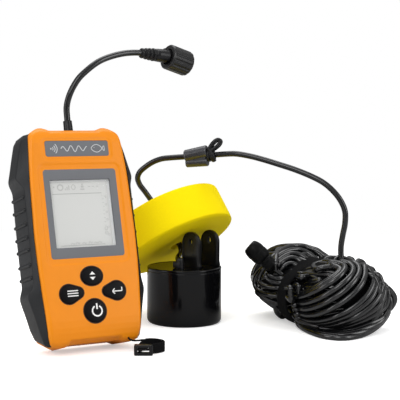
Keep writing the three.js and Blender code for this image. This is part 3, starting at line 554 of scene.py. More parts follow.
def outline_distance(points, loop, chunk=20000):
    """Distance from each point to the loop, in chunks to spare memory."""
    spans = np.roll(loop, -1, 0) - loop
    squares = (spans * spans).sum(1)
    out = np.empty(len(points))
    for i in range(0, len(points), chunk):
        offsets = points[i:i + chunk][:, None] - loop
        share = np.clip((offsets * spans).sum(-1) / squares, 0, 1)
        gaps = offsets - share[..., None] * spans
        out[i:i + chunk] = np.sqrt((gaps ** 2).sum(-1)).min(1)
    return out


def rect_depth(x, z, rect, radius):
    """How far inside a rounded rectangle a point is: positive inside."""
    x0, x1, z0, z1 = rect
    past_x = np.abs(x - (x0 + x1) / 2) - ((x1 - x0) / 2 - radius)
    past_z = np.abs(z - (z0 + z1) / 2) - ((z1 - z0) / 2 - radius)
    corner = np.hypot(np.maximum(past_x, 0), np.maximum(past_z, 0))
    return radius - corner - np.minimum(np.maximum(past_x, past_z), 0)


def in_loop(x, z, loop):
    inside = np.zeros(len(x), bool)
    for (x0, z0), (x1, z1) in zip(loop, np.roll(loop, -1, 0)):
        if z0 == z1:
            continue
        inside ^= ((z0 > z) != (z1 > z)) & (x < (x1 - x0) * (z - z0) / (z1 - z0) + x0)
    return inside


def face_depth(x, z, distance):
    """Y of the face at x, z, where distance is how far the point is from the outline."""
    y = look_up(FACE_PROFILE, z)
    from_flat = EDGE_ROUND - np.clip(distance, 0, EDGE_ROUND)
    drop = EDGE_ROUND - np.sqrt(np.maximum(EDGE_ROUND ** 2 - from_flat ** 2, 0))
    y = y + drop * 0.85
    # the foot between the two bottom bumpers, and the matching one at the top
    middle = smooth((17.5 - np.abs(x)) / 2.5)
    y = y + 2.2 * middle * smooth((4.6 - z) / 2.6)
    y = y + 1.4 * middle * smooth((z - 128.6) / 2.4)
    # soft sunken fields round the window and the badge
    y = y + 0.42 * smooth(rect_depth(x, z, WINDOW_FIELD, 4) / 1.6 + 0.5)
    y = y + 0.3 * smooth(rect_depth(x, z, BADGE_FIELD, 3) / 1.4 + 0.5)
    # the seats below the bezel and the badge
    y = y + 1.4 * smooth(rect_depth(x, z, shrink(BEZEL_RECT, SEAT_INSET), 2) / 0.8)
    return y + 1.2 * smooth(rect_depth(x, z, shrink(BADGE_RECT, SEAT_INSET), 2) / 0.8)


def front_skin():
    outline = case_outline()
    count = len(outline)
    centre = np.array([0.0, 66.0])
    shares = np.concatenate([np.linspace(0.0, 0.9, 150)[1:], np.linspace(0.9, 1.0, 45)[1:]])
    points = np.concatenate([centre + share * (outline - centre) for share in shares])
    x, z = points.T
    y = face_depth(x, z, outline_distance(points, outline[::2]))
    rings = list(np.stack([x, y, z], -1).reshape(-1, count, 3))
    # the side wall, then a lip turned in behind it
    edge_y = rings[-1][:, 1]
    for share in np.linspace(0, 1, 10)[1:]:
        wall_y = edge_y + (WALL_END_Y - edge_y) * share
        rings.append(np.stack([outline[:, 0], wall_y, outline[:, 1]], -1))
    rings += stack(outline, [(0.35, LIP_Y), (2.0, LIP_Y)])
    verts, faces = skin(rings)
    verts = np.concatenate([verts, [[0, y[:count].mean(), centre[1]]]])
    faces += [(len(verts) - 1, (j + 1) % count, j) for j in range(count)]
    # holes for the window and the keys
    x, y, z = np.array([verts[list(face)].mean(0) for face in faces]).T
    hole = rect_depth(x, z, WINDOW_CUT, 0.5) > 0
    for loop in KEYS.values():
        hole |= in_loop(x, z, inset_loop(loop, -0.35))
    hole &= y < 8
    return verts, [face for face, cut in zip(faces, hole) if not cut]


handset_piece("front_shell_skin", front_skin(), ORANGE, "orange_plastic", angle=60, flip=True,
              replaces="front_shell")

# ---- window bezel
BEZEL_FACE_Y = -0.5
bezel_loop = rounded_rect(*BEZEL_RECT, 1.9, 8)


def bezel():
    opening = rounded_rect(*OPENING_RECT, 0.5, 8)
    outer = [(0, 1.2), (0, -0.25)] + edge_layers(0.3, BEZEL_FACE_Y)[::-1]
    inner = [(-inset, y) for inset, y in edge_layers(0.22, BEZEL_FACE_Y)] + [(0, 1.2)]
    return skin(stack(bezel_loop, outer) + stack(opening, inner), wrap=True)


def display_step():
    """The slope between the bezel and the display, painted light grey as its highlight."""
    x0, x1, z0, z1 = OPENING_RECT
    outer = rounded_rect(*shrink(OPENING_RECT, 0.05), 0.5)
    inner = rounded_rect(x0 + 0.35, x1 - 1.5, z0 + 0.35, z1 - 0.9, 0.4)
    return skin(stack(outer, [(0, 1.15)]) + stack(inner, [(0, 1.75)]))


handset_piece("bezel_frame", bezel(), BEZEL, "bezel_plastic", flip=True, angle=35,
              replaces="window_bezel")
# the step's light grey is a painted highlight
handset_piece("display_step", display_step(), BEZEL_STEP_HIGHLIGHT, "bezel_plastic", flip=True)
# a dark brown strip round the bezel, painted shade in the gap
handset_piece("bezel_gap_shade", skin(stack(bezel_loop, [(0.05, -0.3), (-0.18, -0.36), (-0.24, 0.4)])),
              GAP_SHADE, "bezel_plastic", flip=True)

# ---- printed marks, raised from the face by MARK_DEPTH
MARK_DEPTH = 0.08
DISPLAY_Y, BADGE_Y, KEY_PRINT_Y = 1.84, -0.74, -1.98


def stroke(points, width, y, count, closed=False):
    """A thin line through (x, z) points."""
    centres = curve([(x, 0, z) for x, z in points], count, closed)[:, [0, 2]]
    along = tangents(centres, closed)
    half = np.stack([-along[:, 1], along[:, 0]], -1) * width / 2
    back = y + MARK_DEPTH
    rings = []
    for side, level in ((centres + half, back), (centres + half, y),
                        (centres - half, y), (centres - half, back)):
        rings.append(np.stack([side[:, 0], np.full(count, level), side[:, 1]], -1))
    return skin(rings, closed=closed)


def dash(x0, x1, z, width, y, count):
    return stroke([(x0, z), (x1, z)], width, y, count)


def patch(points, y):
    """A filled mark; its points run anticlockwise."""
    count = len(points)
    verts = np.array([(x, level, z) for level in (y, y + MARK_DEPTH) for x, z in points])
    sides = [(j, count + j, count + (j + 1) % count, (j + 1) % count) for j in range(count)]
    return verts, [tuple(range(count))] + sides


def display_marks():
    y = DISPLAY_Y
    marks = [stroke(circle_points(-12.7, 95.4, 1.7, 0, 342, 16), 0.8, y, 30, True)]
    for k in range(3):
        x = -9.5 + 1.2 * k
        marks.append(stroke([(x, 93.7), (x, 94.8 + 0.9 * k)], 0.65, y, 5))
    diamond = [(-4.2, 97.0), (-2.9, 95.4), (-4.2, 93.8), (-5.5, 95.4)]
    marks.append(stroke(diamond, 0.45, y, 24, True))
    marks.append(dash(0.2, 2.9, 94.0, 0.9, y, 6))
    marks.append(dash(0.7, 2.5, 95.6, 1.2, y, 6))
    marks.append(dash(1.1, 2.1, 97.0, 1.0, y, 6))
    for x in (5.3, 8.0, 10.7):
        marks.append(dash(x, x + 1.5, 95.6, 0.45, y, 5))
    marks.append(dash(-17.3, -16.5, 95.7, 0.9, y, 5))
    # the scale down the right side
    for k in range(11):
        z = 90.0 - 2.35 * k
        marks.append(dash(13.6, 14.9, z, 0.32, y, 5))
        if k % 2 == 0:
            marks.append(stroke(circle_points(15.9, z - 1.1, 0.55, 0, 330, 10), 0.3, y, 14, True))
    for z in (66.6, 69.3):
        marks.append(stroke(circle_points(14.4, z, 0.95, 0, 330, 10), 0.42, y, 16, True))
    # small peaks along the bottom line: x, height
    for x, height in ((-8.2, 0.9), (-5.0, 1.5), (-0.8, 1.1), (3.2, 1.6), (6.8, 0.9), (9.4, 1.3)):
        peaks = [(x - 1.3, 60.5), (x - 0.4, 60.5 + height), (x + 0.5, 60.6),
                 (x + 1.2, 60.5 + height * 0.7)]
        marks.append(stroke(peaks, 0.42, y, 14))
    return merge(marks)


display_lines = merge([dash(-18.2, 13.8, 91.4, 0.3, DISPLAY_Y, 30),
                       dash(-16.0, 12.6, 59.9, 0.22, DISPLAY_Y, 30)])
handset_piece("display_marks", display_marks(), LCD_MARK, "lcd_glass")
handset_piece("display_lines", display_lines, LCD_LINE, "lcd_glass")

# ---- badge
badge_loop = rounded_rect(*BADGE_RECT, 1.5, 8)
badge_layers = [(0, 0.4), (0, -0.45)] + edge_layers(0.25, -0.7)[::-1]
handset_piece("badge_plate", skin(stack(badge_loop, badge_layers), caps=True), BEZEL,
              "bezel_plastic", flip=True, angle=35, replaces="name_badge")
# a dark brown strip round the badge, painted shade in the gap
handset_piece("badge_gap_shade", skin(stack(badge_loop, [(0.05, -0.42), (-0.2, -0.5), (-0.25, 0.3)])),
              GAP_SHADE, "bezel_plastic", flip=True)


def badge_motif():
    """Three arcs, a dying wave and a fish."""
    middle, y = 118.8, BADGE_Y
    marks = [stroke(circle_points(-16.9, middle, radius, -46, 46, 9), 0.5, y, 18)
             for radius in (1.3, 2.6, 3.9)]
    marks.append(dash(-17.4, -16.6, middle, 0.9, y, 5))
    wave = []
    for i in range(35):
        height = 2.0 * math.sin(i * 0.5 * 2 * math.pi / 5.2) * (1 - abs(i - 17) / 40)
        wave.append((-10.6 + 0.5 * i, middle + height))
    marks.append(stroke(wave, 0.5, y, 110))
    fish = [(9.2, middle), (10.6, 120.5), (13.0, 121.2), (15.4, 120.0), (17.6, 117.3),
            (17.6, 120.3), (15.4, 117.6), (13.0, 116.4), (10.6, 117.1)]
    marks.append(stroke(fish, 0.45, y, 90, True))
    marks.append(dash(10.9, 11.3, 119.3, 0.5, y, 5))
    return merge(marks)


handset_piece("badge_motif", badge_motif(), PRINT, "bezel_plastic")

# ---- keys
KEY_TOP_Y, KEY_ROUND = -1.75, 0.75
cap_layers = [(-0.05, 3.2), (-0.05, -0.7)]
cap_layers += edge_layers(KEY_ROUND, KEY_TOP_Y, steps=5)[::-1]
cap_layers += [(inset, KEY_TOP_Y - 0.10 * (inset - KEY_ROUND)) for inset in (1.2, 1.8, 2.6)]
# a flat dark brown ring round each key, painted shade in the recess round it
recess_shade_layers = [(-0.1, 1.6), (-0.12, -0.86), (-0.3, -0.98), (-0.6, -0.93), (-0.72, -0.55)]
for key, loop in KEYS.items():
    handset_piece("key_cap_" + key, skin(stack(loop, cap_layers), caps=True), KEY,
                  "key_plastic", key + "_key", flip=True, angle=50, replaces="key_" + key)
    handset_piece("key_recess_shade_" + key, skin(stack(loop, recess_shade_layers)), KEY_RECESS_SHADE, "key_plastic",
                  flip=True, angle=60)


def key_icons():
    y = KEY_PRINT_Y
    return {
        "unit": [patch([(-1.5, 41.3), (2.1, 41.3), (0.3, 43.2)], y),
                 patch([(-1.5, 39.9), (0.3, 38.0), (2.1, 39.9)], y)],
        "menu": [dash(-16.7, -9.9, z, 0.62, y, 9) for z in (32.5, 31.0, 29.5)],
        "enter": [stroke([(18.3, 32.7), (18.3, 30.4)], 0.62, y, 6),
                  dash(18.3, 11.9, 30.4, 0.62, y, 9),
                  stroke([(13.6, 32.0), (12.2, 30.4), (13.6, 28.8)], 0.6, y, 9)],
        "power": [stroke(circle_points(0.9, 19.6, 3.05, 118, 422, 24), 0.92, y, 60),
                  stroke([(0.9, 24.1), (0.9, 20.6)], 0.95, y, 8)],
    }


for key, marks in key_icons().items():
    handset_piece("key_icon_" + key, merge(marks), KEY_PRINT, "key_plastic", key + "_key")

# ---- grips
# half width of the casing where the grip meets it: z, x
CASE_EDGE = (
    (0, 25), (2.5, 28.3), (7, 29.4), (20, 30.6), (35, 31.8), (50, 32.5), (66, 32.8),
    (85, 32.4), (100, 32.0), (108, 31.6), (117, 30.8), (126, 29.6), (129.4, 27.6),
    (132.6, 22.6), (133, 19),
)
# the front ridge's half width: z, x, and its depth: z, y
RIDGE_X = (
    (1.2, 28.9), (3, 30.9), (9, 32.5), (20, 34.9), (30.8, 37.7), (32.6, 37.6), (38.2, 34.8),
    (96.2, 34.9), (101.8, 38.1), (103.4, 38.2), (108, 37.0), (117, 34.9), (126, 32.6),
    (129.2, 30.4),
)
RIDGE_Y = ((1.2, 7), (9, 7.2), (31.8, 7.5), (38.2, 3.5), (96.2, 3.5), (102.5, 7.5),
           (126, 7.5), (129.2, 8))
# the back corner's half width: z, x
BACK_X = (
    (1.2, 29.6), (3, 31.4), (9, 32.8), (20, 35.3), (30.8, 38.1), (32.6, 38.1), (38.2, 36.2),
    (66, 36.4), (96.2, 36.2), (101.8, 38.1), (103.4, 38.1), (108, 36.9), (117, 34.8),
    (126, 32.5), (129.2, 30.4),
)
# depth of the front edge beside the casing: z, y
INNER_Y = ((1.2, 4.8), (9, 2.2), (20, 0.7), (35, 0.1), (108, 0.1), (117, 0.6), (126, 2.3),
           (129.2, 4.0))
GRIP_Z0, GRIP_Z1 = 1.2, 129.2
GRIP_BACK_Y = 22.0
RIB_Y0, RIB_Y1 = 4.3, 22.2
RIB_RADIUS, RIB_END = 1.15, 1.25


def eased(table, z, reach):
    """The table with its corners softened over about reach millimetres."""
    return sum(look_up(table, z + offset) for offset in np.linspace(-reach, reach, 7)) / 7


def rib(side, middle):
    """A raised bar, round at both ends, that wraps from the front edge to the back."""
    ridge, back = eased(RIDGE_X, middle, 1.6), eased(BACK_X, middle, 1.6)
    rows = []
    for y in np.linspace(RIB_Y0, RIB_Y1, 26):
        share = min(1.0, (y - RIB_Y0) / RIB_END, (RIB_Y1 - y) / RIB_END)
        swell = RIB_RADIUS * math.sqrt(max(0.0, 1 - (1 - share) ** 2))
        base = ridge + (back - ridge) * (y - 3.5) / (GRIP_BACK_Y - 3.5) - 0.35
        rows.append([(side * (base + (swell + 0.25) * math.sin(a) ** 0.7), y,
                      middle + (swell + 0.02) * math.cos(a))
                     for a in np.linspace(0, math.pi, 9)])
    verts, faces = skin(rows, closed=False)
    if side > 0:
        faces = [face[::-1] for face in faces]
    return verts, faces


def grip(side, rib_heights):
    """side is -1 for the grip at -X and 1 for the one at +X."""
    stations = np.unique(np.concatenate([np.linspace(GRIP_Z0, GRIP_Z1, 150),
                                         np.linspace(28, 42, 40), np.linspace(92, 108, 40)]))
    rings = []
    for z in stations:
        reach = 0.5 if z < 5 or z > 125 else 1.5
        wall = look_up(CASE_EDGE, z) + 0.02
        ridge_x, ridge_y = eased(RIDGE_X, z, reach), eased(RIDGE_Y, z, reach)
        back_x, inner_y = eased(BACK_X, z, reach), eased(INNER_Y, z, reach)
        section = [(wall, inner_y + 0.6), (wall + 0.25, inner_y), (ridge_x, ridge_y),
                   (back_x, GRIP_BACK_Y), (back_x - 2.4, 25.0), (wall - 0.6, 25.3)]
        # the bottom end slopes up towards the back
        rise = max(0.0, 1 - (z - GRIP_Z0) / 12) * 5.0
        rings.append([(side * x, y, z + rise * smooth((y - 4) / 21))
                      for x, y in rounded(section, [0, 0.5, 0.9, 1.6, 1.2, 0])])
    verts, faces = skin(rings, closed=False)
    count = len(rings[0])
    faces.append(tuple(range(count)))
    faces.append(tuple(reversed(range(len(verts) - count, len(verts)))))
    return merge([(verts, faces)] + [rib(side, middle) for middle in rib_heights])


for name, side, rib_heights in (
        ("left_grip", -1, (42.7, 50.4, 59.4, 66.9, 74.7, 83.3, 91.1)),
        ("right_grip", 1, (46.1, 56.5, 66.8, 77.1, 87.4))):
    handset_piece(name + "_skin", grip(side, rib_heights), GRIP, "grip_rubber",
                  flip=side > 0, angle=32, replaces=name)

# ---- strain relief on top of the handset, and the pigtail to the plug
# lathe profiles from here on are (radius, distance along the axis)
CABLE_RADIUS = 1.95
RELIEF_X, RELIEF_Y = 1.4, 13.2
relief = rounded([(0, 130.5), (3.7, 130.5), (3.7, 132.4), (2.95, 132.7), (2.85, 134.0),
                  (2.75, 138.2), (2.75, 139.7), (2.0, 139.75), (1.95, 138.5)], 0.35)
relief_foot = on_handset((RELIEF_X, RELIEF_Y, 0))[0]
make("strain_relief_skin", lathe(relief, relief_foot, HANDSET_UP, 48), BLACK,
     "black_plastic", "handset", angle=30, flip=True, replaces="strain_relief")

nut_start = np.array([75.1, 58.2, 179.8])
nut_dir = unit((16.4, 2.4, -4.6))
boot_dir = unit((21.2, 3.1, -1.5))
relief_tip = on_handset((RELIEF_X, RELIEF_Y, 139.95))[0]
free_end = (14.4, 50.0, 169.2)  # a point the pigtail passes through
pigtail = [relief_tip, (1.4, 51.6, 146.5), (3.2, 50.6, 154.4), (8.3, 50.0, 163.4), free_end,
           (22.5, 50.4, 174.8), (31.5, 51.7, 178.3), (42, 53.3, 180.7),
           nut_start - 23.6 * boot_dir, nut_start - 20.5 * boot_dir]
piece = make("pigtail_cable_skin", sweep(pigtail, CABLE_RADIUS, 20, 160), CABLE,
             "cable_jacket", None, angle=60, flip=True)
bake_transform(piece)
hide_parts("pigtail_cable")

# ---- plug: ribbed boot and coupling nut
BOOT = [
    (0, -21.6), (2.5, -21.6), (3.2, -21.0), (3.4, -20.2), (3.0, -19.4), (2.55, -18.9),
    (2.6, -18.5), (3.5, -18.1), (3.75, -17.4), (3.6, -16.7), (2.8, -16.2), (2.8, -15.8),
    (3.8, -15.3), (4.05, -14.6), (3.9, -13.9), (3.0, -13.4), (3.0, -13.0), (4.0, -12.5),
    (4.3, -11.8), (4.1, -11.1), (3.7, -10.6), (4.5, -10.0), (5.0, -8.8), (5.2, -6),
    (5.35, -3), (5.4, -1.2), (5.1, -0.7), (0, -0.7),
]
NUT_PROFILE = [
    (5.35, 3.0), (5.35, 0.15), (5.7, 0.0), (6.2, 0.12), (6.35, 0.0), (7.5, 0.0),
    (8.35, 0.75), (8.35, 1.3), (8.35, 2.2), (8.35, 8), (8.35, 15.6), (8.1, 16.2),
    (7.3, 17.0), (6.9, 17.0), (6.8, 16.6), (6.8, 3.2), (5.35, 3.2),
]
NUT_GROOVES = 14


def boot():
    verts, faces = lathe(rounded(BOOT, 0.3, 3), nut_start, boot_dir, 56)
    # the body behind the nut is flattened a little above and below
    upright = basis(boot_dir)[1]
    offsets = verts - nut_start
    flat = smooth((offsets @ boot_dir + 10.6) / 1.2) * 0.16
    verts = verts - np.outer((offsets @ upright) * flat, upright)
    neck = rounded([(4.6, -3.5), (4.6, 3.6), (0, 3.6)], 0.2, 3)
    return merge([(verts, faces), lathe(neck, nut_start, nut_dir, 40)])


def nut_flute(angles, radius, distance):
    """Grooves along the nut's outer wall."""
    depth = smooth((distance - 1.3) / 0.8) * smooth((17.5 - distance) / 0.6) * 0.62
    # 0 in the middle of a groove
    off_middle = np.abs(((angles / (2 * math.pi) * NUT_GROOVES) % 1) - 0.5) * 2
    groove = depth * (1 - smooth((off_middle - 0.12) / 0.5))
    return np.where(radius > 7.2, radius - groove, radius)


make("plug_boot_skin", boot(), BLACK, "black_plastic", "pigtail", angle=45, flip=True,
     replaces="plug_boot")
nut = lathe(rounded(NUT_PROFILE, 0.18, 3), nut_start, nut_dir, 280, flute=nut_flute)
make("coupling_nut_skin", nut, NUT, "black_plastic", "nut", flip=True, replaces="coupling_nut")

# ---- lanyard
cord = [(20.9, 2.9, 8.2), (21.2, 2.3, 7.3), (23.2, 1.9, 6.3), (27.2, 2.2, 5.8),
        (30.6, 2.6, 5.7), (33.0, 2.4, 5.0)]
make("lanyard_cord_skin", sweep(cord, 0.55, 10, 60), STRAP, "webbing", "lanyard", angle=60,
     flip=True, replaces="lanyard_cord")

# the strap's path over the floor: x, y
STRAP_PATH = ((22.0, -9.6), (26.6, -3.8), (30.4, 0.6), (34.2, 2.4), (38.6, 0.4),
              (40.5, -4.5), (38.6, -9.3), (34, -12.0), (28.6, -13.4))
STRAP_Z0, STRAP_Z1, STRAP_THICK = 0.35, 6.4, 1.1


def lanyard_strap():
    count = 90
    centres = curve([(x, y, 0) for x, y in STRAP_PATH], count)
    along = tangents(centres)
    across = np.stack([-along[:, 1], along[:, 0], 0 * along[:, 0]], -1) * STRAP_THICK / 2
    low, high = STRAP_Z0 + 0.3, STRAP_Z1 - 0.3
    # section: share of the half thickness, z
    section = ((1, low), (1, high), (0.55, STRAP_Z1), (-0.55, STRAP_Z1), (-1, high),
               (-1, low), (-0.55, STRAP_Z0), (0.55, STRAP_Z0))
    rings = []
    for i in range(count):
        wobble = 0.25 * math.sin(i / count * 7)
        rings.append([centres[i] + across[i] * share + (0, 0, z + wobble)
                      for share, z in section])
    return skin(rings, caps=True)


make("lanyard_strap_skin", lanyard_strap(), STRAP, "webbing", "lanyard", angle=30,
     replaces="lanyard_strap")


def lanyard_clip():
    """An open rectangular buckle with a bar across it."""
    along, through = np.array([0.887, -0.4616, 0]), np.array([0.4616, 0.887, 0])
    half = 2.3
    centre = np.array([22.5, -14.45, 3.3]) + through * half
    outer = rounded_rect(-5.6, 5.6, -3.2, 3.2, 0.9, 6)
    opening = rounded_rect(-3.6, 3.4, -1.7, 1.5, 0.4, 6)
    rings = stack(opening, [(0, half), (0, -2.1), (-0.2, -half)])
    rings += stack(outer, edge_layers(0.6, -half) + edge_layers(0.6, half, -1)[::-1])
    buckle = placed(skin(rings, wrap=True), centre, (along, through, Z_UP))
    bar = block(centre + through * 0.9, (7.4, 1.5, 0.5), (along, Z_UP, through), 0.2)
    return merge([buckle, bar])


make("lanyard_clip_skin", lanyard_clip(), BLACK, "black_plastic", "lanyard", flip=True,
     replaces="lanyard_clip")

# ---- transducer: a round body with two upright lugs on its top
LUG_THROUGH, LUG_ACROSS = unit((0.953, 0.303, 0)), unit((-0.303, 0.953, 0))
LUG_OFFSETS = (-0.4, 18.1)  # along LUG_THROUGH from the body's axis
LUG_RADIUS, LUG_HEAD_Z, LUG_FOOT_Z, HOLE_Z = 8.0, 54.4, 37.8, 55.4
LUG_HALF = 1.3  # half thickness
body = rounded([(0, 0), (24.3, 0), (25.5, 1.9), (25.5, 35.8), (25.35, 36.0), (25.35, 36.3),
                (25.5, 36.5), (25.5, 37.9), (25.0, 38.4), (23.6, 38.4), (23.3, 38.15),
                (0, 38.15)], [0, 1.0, 1.5, 0.1, 0.1, 0.1, 0.1, 0.4, 0.4, 0.3, 0.2, 0])


def lug_centre(offset):
    return ORIGIN + LUG_THROUGH * offset + LUG_ACROSS * -7.2


def lug(offset):
    outer, hole = [], []
    rise = HOLE_Z - LUG_HEAD_Z
    for i in range(96):
        a = 2 * math.pi * i / 96
        dir_x, dir_z = math.cos(a), math.sin(a)
        # the plate's outline seen from the hole's centre: straight sides, round head
        reach = 60.0
        if abs(dir_x) > 1e-6:
            reach = min(reach, LUG_RADIUS / abs(dir_x))
        if dir_z < 0:
            reach = min(reach, (HOLE_Z - LUG_FOOT_Z) / -dir_z)
        if dir_z > 0:
            lift = rise * dir_z
            reach = min(reach, -lift + math.sqrt(lift ** 2 + LUG_RADIUS ** 2 - rise ** 2))
        x, z = reach * dir_x, HOLE_Z + reach * dir_z
        if z < 42:  # flared foot
            x *= 1 + 0.1 * smooth((42 - z) / 3.5)
        outer.append((x, z))
        hole.append((1.35 * dir_x, HOLE_Z + 2.35 * dir_z))
    outer_layers = edge_layers(0.5, -LUG_HALF) + edge_layers(0.5, LUG_HALF, -1)[::-1]
    hole_layers = edge_layers(0.3, LUG_HALF, -1) + edge_layers(0.3, -LUG_HALF)[::-1]
    rings = stack(outer, outer_layers)
    rings += stack(hole, [(-inset, level) for inset, level in hole_layers])
    return placed(skin(rings, wrap=True), lug_centre(offset), (LUG_ACROSS, LUG_THROUGH, Z_UP))


def lug_rim(offset):
    """A slightly raised rim round the -LUG_THROUGH face of a lug."""
    head = [(7.0 * math.cos(a), LUG_HEAD_Z + 7.0 * math.sin(a))
            for a in np.linspace(math.pi, 0, 9)]
    path = [(-7.0, 39.0), (-7.0, 48)] + head + [(7.0, 48), (7.0, 39.0)]
    centre = lug_centre(offset) - LUG_THROUGH * 1.25
    return sweep([centre + LUG_ACROSS * x + Z_UP * z for x, z in path], 0.5, 8, 70)


make("transducer_body", lathe(body, ORIGIN, Z_UP, 180), GLOSS, "transducer_shell",
     "transducer", replaces="transducer_cup")
lug_parts = [build(offset) for build in (lug, lug_rim) for offset in LUG_OFFSETS]
make("transducer_lugs", merge(lug_parts), LUG, "transducer_shell", "transducer",
     replaces="transducer_cap")
gland = lathe(rounded([(0, 38.2), (3.0, 38.2), (2.8, 40), (2.6, 43.6), (2.1, 45.2), (0, 45.2)],
                      0.3), (86.9, 61.6, 0), Z_UP, 32)
gland_foot = block((86.2, 62.6, 40.6), (5.2, 6.2, 4.6), (LUG_THROUGH, LUG_ACROSS, Z_UP), 0.6)
make("gland_skin", merge([gland, gland_foot]), BLACK, "black_plastic", "transducer", angle=45,
     replaces="cable_gland")

# ---- float: a tilted ring
float_start = (97.7, 85.67, 50.33)
float_dir = (-0.2078, 0.525, 0.8253)
float_ring = rounded([(5.4, 13), (5.4, 0.2), (6.0, 0.0), (40.2, 0.0), (42.5, 0.9), (42.7, 3),
                      (42.7, 23), (42.5, 25.1), (40.2, 26.0), (6.0, 26.0), (5.4, 25.8),
                      (5.4, 13)], [0, 0.1, 0.3, 1.2, 0.5, 0.6, 0.6, 0.5, 1.2, 0.3, 0.1, 0])
make("float_skin", lathe(float_ring, float_start, float_dir, 200), YELLOW, "yellow_foam",
     "float_ring", angle=60, replaces="float")

# ---- cables: from the gland through the float to the stopper, and on to the hank
bore_start, bore_dir = np.array([99.56, 84.85, 49.49]), unit((-11.5, 19.3, 29.2))
run_start, run_dir = np.array([93.1, 88.8, 111.7]), unit((0.69, -0.722, 0.083))
STRAIGHT_STEPS = (0, 12, 24, 36.5)
float_cable = [(86.9, 61.4, 43.5), (88.4, 64.8, 43.0), (89.9, 70.0, 43.2), (93.4, 76.0, 44.1),
               (98.0, 81.2, 45.9)]
float_cable += [bore_start + step * bore_dir for step in STRAIGHT_STEPS]
float_cable += [(82.4, 106.4, 87.3), (78.9, 107.8, 92.4), (77.1, 107.3, 96.9),
                (77.6, 105.3, 101.0), (80.4, 102.2, 104.8), (84.6, 97.9, 108.6),
                (89, 93.2, 110.9)]
float_cable += [run_start + step * run_dir for step in STRAIGHT_STEPS]
make("float_cable_skin", sweep(float_cable, CABLE_RADIUS, 20, 260), CABLE, "cable_jacket",
     "transducer", angle=60, flip=True, replaces="float_cable")
lead_cable = [
    run_start + 36.4 * run_dir, run_start + 40 * run_dir, (125.6, 54.7, 115.3),
    (132.7, 47.3, 113.9), (139.5, 40.2, 111.6), (146.4, 32.9, 108.8), (154.3, 24.6, 105.4),
    (162.4, 16.2, 101.0), (167.8, 10.6, 97.1), (172.3, 5.8, 91.8), (176.0, 2.2, 85.4),
    (178.3, 0.4, 78.5), (178.4, 0.2, 70.5), (177.2, 1.0, 62), (176.3, 1.4, 54.5),
    (176.2, 0.8, 48.0), (176.6, -1.0, 43),
]
make("lead_cable_skin", sweep(lead_cable, CABLE_RADIUS, 20, 220), CABLE, "cable_jacket",
     "coil", angle=60, flip=True, replaces="lead_cable")


# ---- stopper
def stopper():
    """A sleeve on the cable, with a smaller lobe below it and a web between."""
    centre = run_start + 19.6 * run_dir + (-0.2, 0.2, 1.5)
    sleeve = rounded([(2.3, -8.0), (3.9, -8.3), (4.35, -7.6), (4.35, 7.6), (4.0, 8.3),
                      (2.3, 8.0)], 0.4)
    lobe = rounded([(0, -7.6), (2.6, -7.6), (3.1, -7.0), (3.1, 7.8), (2.6, 8.4), (0, 8.4)], 0.4)
    lobe_dir = unit((0.69, -0.722, 0.08))
    across = np.cross(Z_UP, lobe_dir)
    web = block(centre + (0, 0, -3.6), (14.6, 5.4, 5.0),
                (lobe_dir, across, np.cross(lobe_dir, across)), 0.8)
    return merge([lathe(sleeve, centre, (0.672, -0.703, 0.232), 48),
                  lathe(lobe, centre + (0.2, -0.2, -5.9), lobe_dir, 40), web])


make("stopper_skin", stopper(), SLEEVE, "black_plastic", "stopper", angle=45, flip=True,
     replaces="cable_stopper")


def cord_turn(distance, tilt, radius):
    """Points of a slightly tilted circle round the straight run of cable."""
    side, other, _ = basis(run_dir + tilt)
    return [run_start + distance * run_dir + radius * (side * math.cos(a) + other * math.sin(a))
            for a in np.linspace(0, 2 * math.pi, 12, endpoint=False)]


def stopper_ring():
    """A short doubled cord: a long narrow eye, and two turns round the cable."""
    centre = np.array([114.0, 63.4, 121.2])
    long_dir = unit((0.656, -0.291, 0.696))
    to_camera = (-0.4821, -0.8723, 0.0816)
    short_dir = unit(np.cross(to_camera, long_dir))
    eye = []
    for a in np.linspace(0, 2 * math.pi, 16, endpoint=False):
        bulge = 1.0 + 0.25 * math.cos(a)
        eye.append(centre + long_dir * 4.9 * math.cos(a) + short_dir * 1.75 * math.sin(a) * bulge)
    second_eye = [point + (1.3, 0.5, -0.4) for point in eye]
    knuckle = [centre - long_dir * 4.6, (111.5, 64.0, 116.4), (112.6, 62.8, 113.6),
               (114.4, 63.6, 110.3)]
    return merge([
        sweep(eye, 1.25, 14, 90, closed=True),
        sweep(second_eye, 1.1, 12, 80, closed=True),
        sweep(cord_turn(30.9, (0.05, 0, 0.12), 3.7), 1.4, 12, 60, closed=True),
        sweep(cord_turn(28.9, (-0.05, 0, -0.1), 3.5), 1.2, 12, 60, closed=True),
        sweep(knuckle, 1.3, 12, 30),
    ])


make("stopper_ring_skin", stopper_ring(), BLACK, "seal_rubber", "stopper", angle=60, flip=True,
     replaces="stopper_ring")

